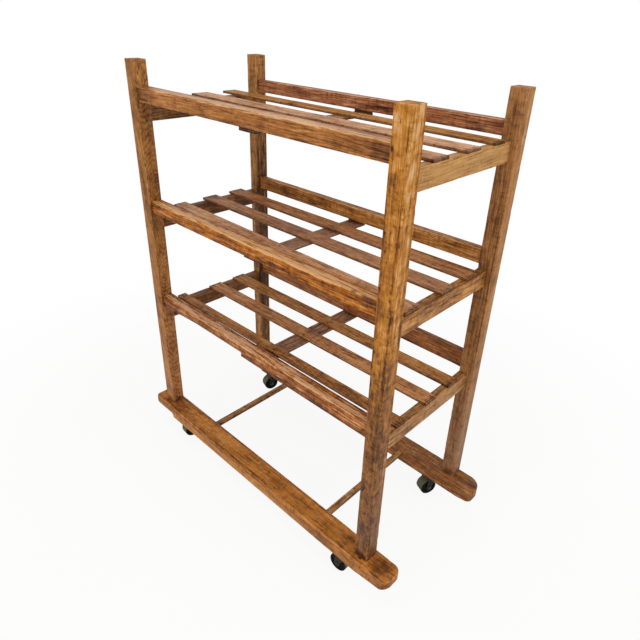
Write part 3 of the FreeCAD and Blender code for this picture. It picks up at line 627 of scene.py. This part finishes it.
# single marks in mm: kind, middle, radii and strength
SINGLE_MARKS = {
    "post_front_right": [
        ("knot", (479, -253, 1349), (5, 5, 10), 0.9), ("knot", (515, -253, 1370), (1.6, 3, 60), 0.8),
        ("knot", (516, -253, 1230), (1.3, 3, 110), 0.6), ("knot", (512, -253, 1080), (1.2, 3, 60), 0.5),
        ("knot", (494, -253, 1404), (2, 3, 8), 0.7), ("knot", (477, -253, 1290), (3, 3, 14), 0.6),
        ("knot", (486, -253, 1130), (3, 3, 9), 0.7), ("knot", (492, -253, 1105), (2.4, 3, 7), 0.7),
        ("bruise", (494, -253, 262), (18, 8, 34), 1.0), ("bruise", (508, -253, 236), (8, 6, 34), 0.8),
        ("bruise", (521, -240, 300), (6, 9, 26), 0.5), ("bruise", (521, -222, 236), (6, 10, 26), 0.5),
        ("knot", (505, -253, 205), (1.6, 4, 40), 0.7), ("stain", (484, -253, 420), (8, 6, 60), 0.5),
        # the pale mark on the right side is painted light: that side drawn paler where it catches the light
        ("pale", (522, -228, 1200), (5, 40, 520), 0.3), ("stain", (478, -253, 1180), (4, 4, 200), 0.7),
        ("stain", (514, -253, 1000), (5, 4, 460), 0.6),
        ("stain", (498, -253, 620), (40, 8, 140), 0.3),
        ("stain", (476, -253, 800), (5, 5, 170), 0.8), ("bruise", (476, -253, 640), (3, 5, 60), 0.5),
    ],
    "post_front_left": [
        ("knot", (-519, -253, 1356), (3, 3, 7), 0.7), ("stain", (-512, -253, 1330), (8, 8, 60), 0.5),
        ("bruise", (-534, -253, 205), (30, 8, 40), 0.35),
    ],
    "post_back_right": [
        ("stain", (498, 224, 950), (40, 8, 800), 0.45), ("knot", (521, 256, 1180), (3, 3, 5), 0.7),
        ("pale", (522, 256, 1330), (5, 14, 90), 0.3), ("knot", (521, 240, 620), (3, 4, 7), 0.6),
    ],
    "slat_middle_front": [("pale", (-420, -122, 948), (110, 24, 4), 0.5)],
    "slat_top_front": [("pale", (-300, -150, 1313), (300, 14, 4), 0.3)],
    "front_rail_top": [
        ("pale", (-457, -246, 1325), (8, 4, 3), 0.7), ("knot", (99, -246, 1330), (2, 3, 2), 0.9),
        ("stain", (-480, -246, 1340), (90, 12, 40), 0.4), ("stain", (-470, -228, 1361), (100, 30, 9), 0.6),
        ("stain", (452, -246, 1336), (46, 12, 40), 0.75),
    ],
    "front_rail_middle": [
        ("bruise", (438, -244, 992), (26, 14, 7), 0.9), ("bruise", (396, -240, 994), (12, 10, 5), 0.7),
        ("stain", (200, -246, 966), (120, 8, 5), 0.6), ("stain", (-350, -246, 968), (90, 8, 5), 0.6),
    ],
    "front_rail_bottom": [
        ("bruise", (139, -246, 628), (18, 8, 8), 0.9), ("knot", (347, -246, 617), (2.4, 3, 2.4), 0.9),
        ("stain", (-440, -246, 612), (60, 10, 30), 0.4), ("knot", (-120, -246, 606), (2, 3, 2), 0.8),
    ],
    "back_rail_top": [
        ("bruise", (409, 233, 1325), (22, 6, 12), 0.7), ("stain", (60, 233, 1330), (120, 6, 8), 0.5),
    ],
    "back_rail_middle": [
        ("knot", (-202, 233, 962), (14, 6, 7), 0.8), ("stain", (-380, 233, 970), (160, 8, 30), 0.3),
    ],
    "runner_front": [
        ("knot", (-218, -273, 138), (110, 2, 3), 0.6), ("knot", (-60, -273, 138), (60, 1.6, 3), 0.7),
        ("stain", (-470, -236, 138), (70, 30, 8), 0.5), ("bruise", (-500, -222, 138), (24, 12, 6), 0.5),
        ("knot", (514, -275, 126), (4, 4, 6), 0.8), ("knot", (552, -275, 108), (5, 4, 4), 0.8),
        ("knot", (597, -272, 112), (8, 6, 5), 0.8), ("knot", (499, -256, 138), (9, 4, 3), 1.0),
        ("stain", (560, -236, 138), (56, 44, 12), 0.75), ("bruise", (606, -236, 126), (8, 34, 10), 0.6),
        ("bruise", (575, -275, 104), (34, 5, 7), 0.7), ("knot", (598, -246, 138), (9, 1.6, 3), 0.7),
        ("knot", (600, -232, 138), (10, 1.6, 3), 0.6), ("pale", (590, -240, 138), (10, 10, 4), 0.4),
        ("stain", (602, -250, 112), (44, 44, 34), 0.45), ("bruise", (455, -275, 120), (26, 5, 7), 0.5),
        ("stain", (430, -236, 138), (30, 34, 8), 0.4), ("bruise", (420, -262, 138), (20, 7, 6), 0.5),
        ("stain", (330, -256, 138), (60, 3, 4), 0.7), ("stain", (110, -275, 112), (150, 6, 16), 0.3),
        ("stain", (330, -275, 114), (280, 6, 30), 0.25),
    ],
    "runner_back": [
        ("bruise", (588, 240, 138), (30, 26, 16), 0.7), ("stain", (540, 236, 138), (40, 44, 12), 0.4),
    ],
}


def end_marks(low, high, axis, strength, radius):
    """Both ends of a board, darkened over the radius along its length."""
    radii = [90 * MM] * 3
    radii[axis] = radius
    found = []
    for end in (low, high):
        at = (low + high) / 2
        at[axis] = end[axis]
        found.append((tuple(at), tuple(radii), strength))
    return found


def post_marks(node, low, high):
    """Grime round the foot and beside the rails, and painted shade on the inner side of the post at the far left,
    where it faces into the rack.
    """
    x, y = (low.x + high.x) / 2, (low.y + high.y) / 2
    runner_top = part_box("runner_front")[1].z
    stains_and_shade = [((x, y, runner_top + 4 * MM), mm(45, 45, 34), 0.85)]
    side = node.rsplit("_", 1)[1]
    for shelf in SHELVES:
        for rail in (f"front_rail_{shelf}", f"end_rail_{shelf}_{side}"):
            rail_low, rail_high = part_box(rail)
            stains_and_shade.append(((x, y, (rail_low.z + rail_high.z) / 2), mm(50, 50, 32), 0.3))
    # painted shade on the inner side of the post at the far left, facing into the rack
    if node == "post_back_left":
        stains_and_shade.append(((high.x, y, high.z / 2), mm(36, 50, 800), 1.0))
    return {"stain": stains_and_shade}


def slat_marks(node, low, high):
    """Dark ends, and a dark ring round each nail."""
    stains_and_shade = end_marks(low, high, 0, 0.6, 14 * MM)
    for x, y, z, down in NAILS[node.split("_")[1]]:
        if down and low.y < y < high.y:
            stains_and_shade.append(((x, y, z), mm(8, 5, 6), 0.35))
    return {"stain": stains_and_shade}


def long_rail_marks(node, low, high):
    """Grime where the rail meets its posts, painted shade under its lower arris, and a pale upper arris that is
    part rubbed wear and part painted sheen highlight.
    """
    family, middle = family_of(node), (low + high) / 2
    stains_and_shade = []
    for side, face in (("left", 1), ("right", 0)):
        shoulder = (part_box(f"post_{family}_{side}")[face].x, middle.y, middle.z)
        stains_and_shade += [(shoulder, mm(9, 60, 60), 0.6), (shoulder, mm(60, 60, 60), 0.12)]
    # painted shade along the lower arris
    stains_and_shade.append(((middle.x, low.y, low.z), mm(800, 7, 3.5), 0.6))
    # the pale upper arris: part rubbed wear, part painted sheen highlight
    inset, width, depth = (10, 26, 8) if family == "front" else (1, 6, 3)
    pale = [((middle.x, low.y + inset * MM, high.z), mm(800, width, depth), PALE_TOPS[node])]
    return {"stain": stains_and_shade, "pale": pale}


def end_rail_marks(node, low, high):
    """Dark ends, and painted shade on the inner side of the left end rails."""
    stains_and_shade = end_marks(low, high, 1, 0.3, 60 * MM)
    # painted shade on the inner side of the left end rails
    if node.endswith("left"):
        stains_and_shade.append(((high.x, (low.y + high.y) / 2, (low.z + high.z) / 2), mm(20, 500, 100), 0.3))
    return {"stain": stains_and_shade}


def runner_marks(node, low, high):
    """Grime round the posts' feet."""
    stains_and_shade = []
    for side in ("left", "right"):
        post_low, post_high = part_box(node.replace("runner", "post") + f"_{side}")
        foot = (post_low + post_high) / 2
        stains_and_shade.append(((foot.x, foot.y, high.z), mm(40, 36, 12), 0.8))
    return {"stain": stains_and_shade}


def bearer_marks(node, low, high):
    return {"stain": end_marks(low, high, 1, 0.4, 40 * MM)}


def stretcher_marks(node, low, high):
    """Painted shade along the lower arris of its side."""
    return {"stain": [((high.x, (low.y + high.y) / 2, low.z), mm(6, 500, 18), 0.9)]}


USUAL_MARKS = {
    "post": post_marks, "slat": slat_marks, "front": long_rail_marks, "back": long_rail_marks,
    "end": end_rail_marks, "runner": runner_marks, "bearer": bearer_marks, "stretcher": stretcher_marks,
}


def marks_of(node):
    """All the marks of a board: those of its kind and its own."""
    marks = {kind: list(rows) for kind, rows in USUAL_MARKS[family_of(node)](node, *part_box(node)).items()}
    for kind, middle, radii, strength in SINGLE_MARKS.get(node, ()):
        marks.setdefault(kind, []).append((mm(*middle), mm(*radii), strength))
    return marks


# how far a board's arrises are eased, in mm
ARRIS = {"slat": 0.8, "bearer": 0.9, "runner": 1.4, "post": 1.8}
USUAL_ARRIS = 1.6
# in mm: the shortest edge that counts as an arris, the reach of its wear, its waves and its nicks
THIN, THICK = (7, 3, 0.1, 0.5), (12, 6, 0.15, 1.3)
SLICE_PITCH = 14 * MM
FIRST_SEED, SEED_STEP = 100, 3.7

wooden = [node for node in sorted(nodes) if slots[node] in ("frame_wood", "slat_wood")]
for number, node in enumerate(wooden):
    family = family_of(node)
    low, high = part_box(node)
    grain = GRAIN.get(family, "x")
    least, reach, waves, nicks = mm(*(THIN if family in ("slat", "bearer") else THICK))
    mesh = eased(node, ARRIS.get(family, USUAL_ARRIS) * MM, least, reach, SLICE_PITCH, grain)
    timber = oak(
        f"oak_{node}", (low + high) / 2, grain, look_of(node), FIRST_SEED + number, marks_of(node)
    )
    piece = show(mesh, f"worn_{node}", timber)
    WEATHERING.run(piece, Unevenness=waves, Nick_Depth=nicks, Seed=number * SEED_STEP, Material=timber)
    kept_inside(piece.data, node)
    level_normals(piece)
    adopt(piece, node)


# ---------------------------------------------------------------- iron and rubber


RUST_PATCHES, RUST_SPECKS, DUST_PATCHES, GRIT = 90, 420, 70, 600  # changes in a metre
IRON_RELIEF, RUBBER_RELIEF = mm(0.25, 0.3)
PAINTED, RUBBERY = 0.2, 0.1  # how much light painted iron and rubber mirror


def iron(name, *colours):
    """Old black paint on iron, rusted in patches and rubbed bare on its edges: the colours of these three."""
    paint, rust, bare = (colour(text) for text in colours)
    finish = Finish(name)
    place = finish.place()
    cloud = finish.noise(place, scale=RUST_PATCHES, detail=5, roughness=0.65)
    speck = finish.noise(place, scale=RUST_SPECKS, detail=3, roughness=0.6)
    worn = finish.worn()
    chipped = (worn * 0.55 + cloud * 0.6).step(0.62, 0.78)
    rusted = (cloud * 0.7 + speck * 0.3).step(0.52, 0.68)
    surface = finish.mix(paint, rust, rusted * 0.8)
    surface = finish.mix(surface, bare, chipped * 0.7)
    rough = speck * 0.25 + rusted * 0.25 - chipped * 0.1 + 0.35
    metal = 0.25 + chipped * 0.5 - rusted * 0.2
    height = speck * 0.3 + cloud * 0.6 + rusted * 0.3
    normal = finish.bump(height, IRON_RELIEF, 0.6)
    return finish.close(
        Base_Color=surface, Roughness=rough, Metallic=metal, Normal=normal, Specular_IOR_Level=PAINTED
    )


CASTER_IRON = iron("caster_iron", "2a2b27", "3b2d22", "6b675c")
BOLT_IRON = iron("bolt_iron", "26221e", "4a3021", "7b7468")
NAIL_IRON = iron("nail_iron", "38241a", "4f2c1a", "5a4638")
RUBBER_BLACK, DUST, DARK_GRIT = "0a0a0b", "6a6653", "1d1e1a"


def wheel_rubber():
    """A dark moulded wheel, its tread dusted grey-green by the floor."""
    finish = Finish("wheel_rubber")
    place = finish.place()
    tread = finish.node("ShaderNodeAttribute", {"attribute_name": "tread"}, output="Fac")
    cloud = finish.noise(place, scale=DUST_PATCHES, detail=5, roughness=0.6)
    grit = finish.noise(place, scale=GRIT, detail=2)
    dust = (tread * 0.8 + cloud * 0.4).step(0.6, 1.0)
    surface = finish.mix(colour(RUBBER_BLACK), colour(DUST), dust * 0.9)
    surface = finish.mix(surface, colour(DARK_GRIT), grit.step(0.5, 0.7) * 0.35)
    rough = dust * 0.3 + grit * 0.1 + 0.5
    normal = finish.bump(cloud * 0.7 + grit * 0.3, RUBBER_RELIEF, 0.7)
    return finish.close(Base_Color=surface, Roughness=rough, Normal=normal, Specular_IOR_Level=RUBBERY)


RUBBER = wheel_rubber()
IRON_EASING = mm(0.5, 1.5, 1.6)  # how far an arris is eased, its least length, and the reach of its wear

for node in sorted(nodes):
    if slots[node] == "caster_steel" and node != "caster_screws":
        metal = CASTER_IRON if "plate" in node or "fork" in node else BOLT_IRON
        piece = show(eased(node, *IRON_EASING), f"{node}_iron", metal)
        level_normals(piece)
        adopt(piece, node)

# half of a wheel's section: radius and distance from its middle in mm, and how dusty it is
WHEEL_SECTION = [
    (31.0, 0, 1), (31.0, 8, 1), (30.95, 13, 1), (30.8, 16, 0.9), (30.3, 17.8, 0.4), (29.2, 18.8, 0.1),
    (27.0, 19.0, 0), (24.6, 18.9, 0), (23.6, 18.2, 0), (22.9, 16.8, 0.3), (21.8, 15.6, 0.5), (20, 15.2, 0.5),
    (14, 15.0, 0.5), (11.6, 15.4, 0.4), (10.4, 16.4, 0.3), (9.6, 18.0, 0.1), (9.1, 19.3, 0), (8.4, 19.6, 0),
    (4.2, 19.6, 0),
]
WHEEL_SIDES = 72
HUB_EDGE = math.radians(60)


def lathed_wheel(name, joint):
    """The section turned about the wheel's axle."""
    half = [(r * MM, y * MM, t) for r, y, t in WHEEL_SECTION]
    section = [(r, -y, t) for r, y, t in reversed(half)] + half[1:]
    axle = Vector(joint["axis"]).normalized()
    up = Vector((0, 0, 1))
    side = axle.cross(up)
    centre = Vector(joint["pos_m"])
    work = bmesh.new()
    rings = []
    for index in range(WHEEL_SIDES):
        turn = 2 * math.pi * index / WHEEL_SIDES
        spoke = side * math.cos(turn) + up * math.sin(turn)
        rings.append([work.verts.new(centre + spoke * r + axle * y) for r, y, _ in section])
    count = len(section)
    for index in range(WHEEL_SIDES):
        here, after = rings[index], rings[(index + 1) % WHEEL_SIDES]
        for row in range(count):
            other = (row + 1) % count
            work.faces.new((here[row], here[other], after[other], after[row]))
    bmesh.ops.recalc_face_normals(work, faces=work.faces)
    mesh = bpy.data.meshes.new(name)
    work.to_mesh(mesh)
    work.free()
    tread = mesh.attributes.new("tread", "FLOAT", "POINT")
    tread.data.foreach_set("value", [t for _ in range(WHEEL_SIDES) for *_, t in section])
    mesh.shade_smooth()
    mesh.set_sharp_from_angle(angle=HUB_EDGE)
    return show(mesh, name, RUBBER)


for joint in frame["joints"]:
    if joint["name"].startswith("wheel_roll"):
        node = "caster_wheel" + joint["name"].removeprefix("wheel_roll")
        wheel = lathed_wheel(f"{node}_turned", joint)
        adopt(wheel, node)


# ---------------------------------------------------------------- nails and screws


def points_mesh(name, rows):
    """A mesh of loose points, each with its own turn to stand a fastener by."""
    mesh = bpy.data.meshes.new(name)
    mesh.from_pydata([row[:3] for row in rows], [], [])
    flip = mesh.attributes.new("flip", "FLOAT", "POINT")
    flip.data.foreach_set("value", [0.0 if row[3] else math.pi for row in rows])
    return mesh


def moved_by(tree, geometry, offset):
    return tree.node("GeometryNodeTransform", {}, {"Geometry": geometry, "Translation": offset})


def joined(tree, *parts):
    join = tree.tree.nodes.new("GeometryNodeJoinGeometry")
    for part in parts:
        tree.tree.links.new(part.socket, join.inputs[0])
    return Value(tree, join.outputs[0])


def stood(tree, fastener, tilt, spin):
    """The fastener on every point, flipped where it was driven up, with a slight chance tilt."""
    flip = tree.node("GeometryNodeInputNamedAttribute", {"data_type": "FLOAT"}, {"Name": "flip"})
    lean, whirl = (
        tree.node(
            "FunctionNodeRandomValue", {"data_type": "FLOAT"},
            {2: most * -1.0, 3: most, "Seed": tree.input("Seed")}, output=1,
        )
        for most in (tilt, spin)
    )
    turn = tree.vector(flip + lean, lean, whirl)
    return tree.node(
        "GeometryNodeInstanceOnPoints", {},
        {"Points": tree.input("Geometry"), "Instance": fastener, "Rotation": turn},
    )


STANDING = ("Shank", "Tilt", "Spin", "Seed", "Material")  # inputs that both fasteners have


def cut_nail():
    """A cut nail under its point: a hammered oblong head on a short square shank."""
    tree = Recipe("cut_nail", ("Head Width", "Head Depth", "Head Height", *STANDING))
    wide, deep, high = (tree.input(f"Head {side}") for side in ("Width", "Depth", "Height"))
    block = tree.node(
        "GeometryNodeMeshCube", {},
        {"Size": tree.vector(wide, deep, high), "Vertices X": 4, "Vertices Y": 4, "Vertices Z": 3},
    )
    domed = tree.node("GeometryNodeSubdivisionSurface", {}, {"Mesh": block, "Level": 1})
    head = moved_by(tree, domed, tree.vector(0.0, 0.0, high * -0.5))
    long = tree.input("Shank")
    shank = tree.node("GeometryNodeMeshCube", {}, {"Size": tree.vector(wide * 0.45, deep * 0.45, long)})
    shank = moved_by(tree, shank, tree.vector(0.0, 0.0, long * -0.5 - high * 0.5))
    nail = joined(tree, head, shank)
    tree.close(stood(tree, nail, tree.input("Tilt"), tree.input("Spin")))
    return tree


def hex_screw():
    """A hexagon-head screw under its point, on a thin washer face."""
    tree = Recipe("hex_screw", ("Flat Radius", "Head Height", *STANDING))
    radius, high, long = (tree.input(label) for label in ("Flat Radius", "Head Height", "Shank"))
    block = tree.node(
        "GeometryNodeMeshCylinder", {"fill_type": "NGON"},
        {"Vertices": 6, "Radius": radius * 1.12, "Depth": high * 0.8},
    )
    head = moved_by(tree, block, tree.vector(0.0, 0.0, high * 0.4))
    cap = tree.node(
        "GeometryNodeMeshCone", {"fill_type": "NGON"},
        {"Vertices": 24, "Radius Top": radius * 0.86, "Radius Bottom": radius, "Depth": high * 0.2},
    )
    cap = moved_by(tree, cap, tree.vector(0.0, 0.0, high * 0.8))
    shank = tree.node(
        "GeometryNodeMeshCylinder", {"fill_type": "NGON"},
        {"Vertices": 12, "Radius": radius * 0.48, "Depth": long},
    )
    shank = moved_by(tree, shank, tree.vector(0.0, 0.0, long * -0.5))
    screw = joined(tree, head, cap, shank)
    tree.close(stood(tree, screw, tree.input("Tilt"), tree.input("Spin")))
    return tree


NAIL, SCREW = cut_nail(), hex_screw()
HEAD_WIDTH, HEAD_DEPTH, HEAD_HEIGHT, NAIL_SHANK = mm(4.8, 3.8, 1.1, 10.5)
FLAT_RADIUS, SCREW_HEAD, SCREW_SHANK = mm(4.5, 3, 24)
NAIL_TILT, NAIL_SPIN, SCREW_TILT, SCREW_SPIN = 0.06, 0.3, 0.03, 3.1  # most turns, in radians
SCREW_SEED = 5.0

for shelf, heads in NAILS.items():
    nails = show(points_mesh(f"nails_{shelf}", heads), f"cut_nails_{shelf}", NAIL_IRON)
    NAIL.run(
        nails, Head_Width=HEAD_WIDTH, Head_Depth=HEAD_DEPTH, Head_Height=HEAD_HEIGHT, Shank=NAIL_SHANK,
        Tilt=NAIL_TILT, Spin=NAIL_SPIN, Seed=float(len(shelf)), Material=NAIL_IRON,
    )
    adopt(nails, f"nails_{shelf}")

screw_rows = []
for points in islands("caster_screws"):
    low, high = points.min(0), points.max(0)
    screw_rows.append(((low[0] + high[0]) / 2, (low[1] + high[1]) / 2, low[2] + SCREW_HEAD, False))
screws = show(points_mesh("screws", screw_rows), "hex_screws", BOLT_IRON)
SCREW.run(
    screws, Flat_Radius=FLAT_RADIUS, Head_Height=SCREW_HEAD, Shank=SCREW_SHANK,
    Tilt=SCREW_TILT, Spin=SCREW_SPIN, Seed=SCREW_SEED, Material=BOLT_IRON,
)
adopt(screws, "caster_screws")


# ---------------------------------------------------------------- studio

WHITE = (1, 1, 1, 1)
CLEAR_LEAST, CLEAR_MORE = 0.9, 0.1  # how white the floor is to the camera under the rack, and further out
CLEAR_FROM, CLEAR_TO = 0.9, 2.2  # metres from the rack's middle
FLOOR_REACH = 14.0
FLOOR_TINTS = "dedcd8", "e2e0dc"
SKY = 0.52  # strength of the soft light from all round


def studio_floor():
    """A pale floor that is white to the camera, keeps the rack's shadow and lights it little from below."""
    finish = Finish("studio_floor")
    place = finish.place()
    grain = finish.noise(place, scale=3, detail=2)
    far = finish.node("ShaderNodeVectorMath", {"operation": "LENGTH"}, {0: place}, output=1)
    rays = finish.node("ShaderNodeLightPath", output="Is Camera Ray")
    tint = finish.mix(*(colour(text) for text in FLOOR_TINTS), grain)
    matt = finish.node(
        "ShaderNodeBsdfPrincipled", {}, {"Base Color": tint, "Roughness": 0.9, "Specular IOR Level": 0.1}
    )
    white = finish.node("ShaderNodeEmission", {}, {"Color": WHITE, "Strength": 1.0})
    lit = far.step(CLEAR_FROM, CLEAR_TO) * CLEAR_MORE + CLEAR_LEAST
    both = finish.node("ShaderNodeMixShader", {}, {0: rays * lit, 1: matt, 2: white})
    finish.node("ShaderNodeOutputMaterial", {}, {"Surface": both})
    return finish.material


mesh = bpy.data.meshes.new("floor")
square = [(x * FLOOR_REACH, y * FLOOR_REACH, 0) for x, y in ((-1, -1), (1, -1), (1, 1), (-1, 1))]
mesh.from_pydata(square, [], [(0, 1, 2, 3)])
floor = show(mesh, "floor", studio_floor())

world = bpy.data.worlds.new("studio")
world.use_nodes = True
bpy.context.scene.world = world
world.node_tree.nodes.clear()
sky = Graph(world.node_tree)
path = sky.node("ShaderNodeLightPath", output="Is Camera Ray")
fill = sky.node("ShaderNodeBackground", {}, {"Color": WHITE, "Strength": SKY})
white = sky.node("ShaderNodeBackground", {}, {"Color": WHITE, "Strength": 1.0})
both = sky.node("ShaderNodeMixShader", {}, {0: path, 1: fill, 2: white})
sky.node("ShaderNodeOutputWorld", {}, {"Surface": both})


def softbox(name, place, height, width, watts):
    """A square lamp that faces the rack's middle at the height."""
    lamp = bpy.data.lights.new(name, "AREA")
    lamp.size = width
    lamp.energy = watts
    stand = bpy.data.objects.new(name, lamp)
    stand.location = place
    stand.rotation_euler = (Vector((0, 0, height)) - Vector(place)).to_track_quat("-Z", "Y").to_euler()
    bpy.context.scene.collection.objects.link(stand)


softbox("ceiling_light", (0.4, -0.8, 4.6), height=0.6, width=3.2, watts=55)
softbox("front_light", (0.6, -5.0, 2.6), height=0.7, width=2.6, watts=115)
softbox("side_light", (4.8, 0.4, 2.4), height=0.7, width=2.4, watts=90)

# ---------------------------------------------------------------- camera

BEARING, DIP, ROLL = (math.radians(angle) for angle in (-42.40, 27.85, 2.27))
STANDPOINT = (1.1320, -1.1391, 1.5878)  # the eye's place
FILM = 36  # width in mm
PICTURE, FOCAL = 640, 542.87  # the rendered picture's width and the lens's focal length in pixels
AIM_X, AIM_Y = 327.8, 297.5  # pixels from its upper left corner to where the lens points
ahead = Vector((math.sin(BEARING) * math.cos(DIP), math.cos(BEARING) * math.cos(DIP), -math.sin(DIP)))
right = Vector((math.cos(BEARING), -math.sin(BEARING), 0))
above = right.cross(ahead)
level = math.cos(ROLL) * right + math.sin(ROLL) * above
upright = math.cos(ROLL) * above - math.sin(ROLL) * right
lens = bpy.data.cameras.new("camera")
lens.sensor_fit = "HORIZONTAL"
lens.sensor_width = FILM
lens.lens = FOCAL / PICTURE * FILM
lens.shift_x, lens.shift_y = (PICTURE / 2 - AIM_X) / PICTURE, (AIM_Y - PICTURE / 2) / PICTURE
camera = bpy.data.objects.new("camera", lens)
turned = Matrix((level, upright, -ahead)).transposed().to_4x4()
camera.matrix_world = Matrix.Translation(STANDPOINT) @ turned
bpy.context.scene.collection.objects.link(camera)
bpy.context.scene.camera = camera
bpy.context.scene.view_settings.view_transform = "Standard"
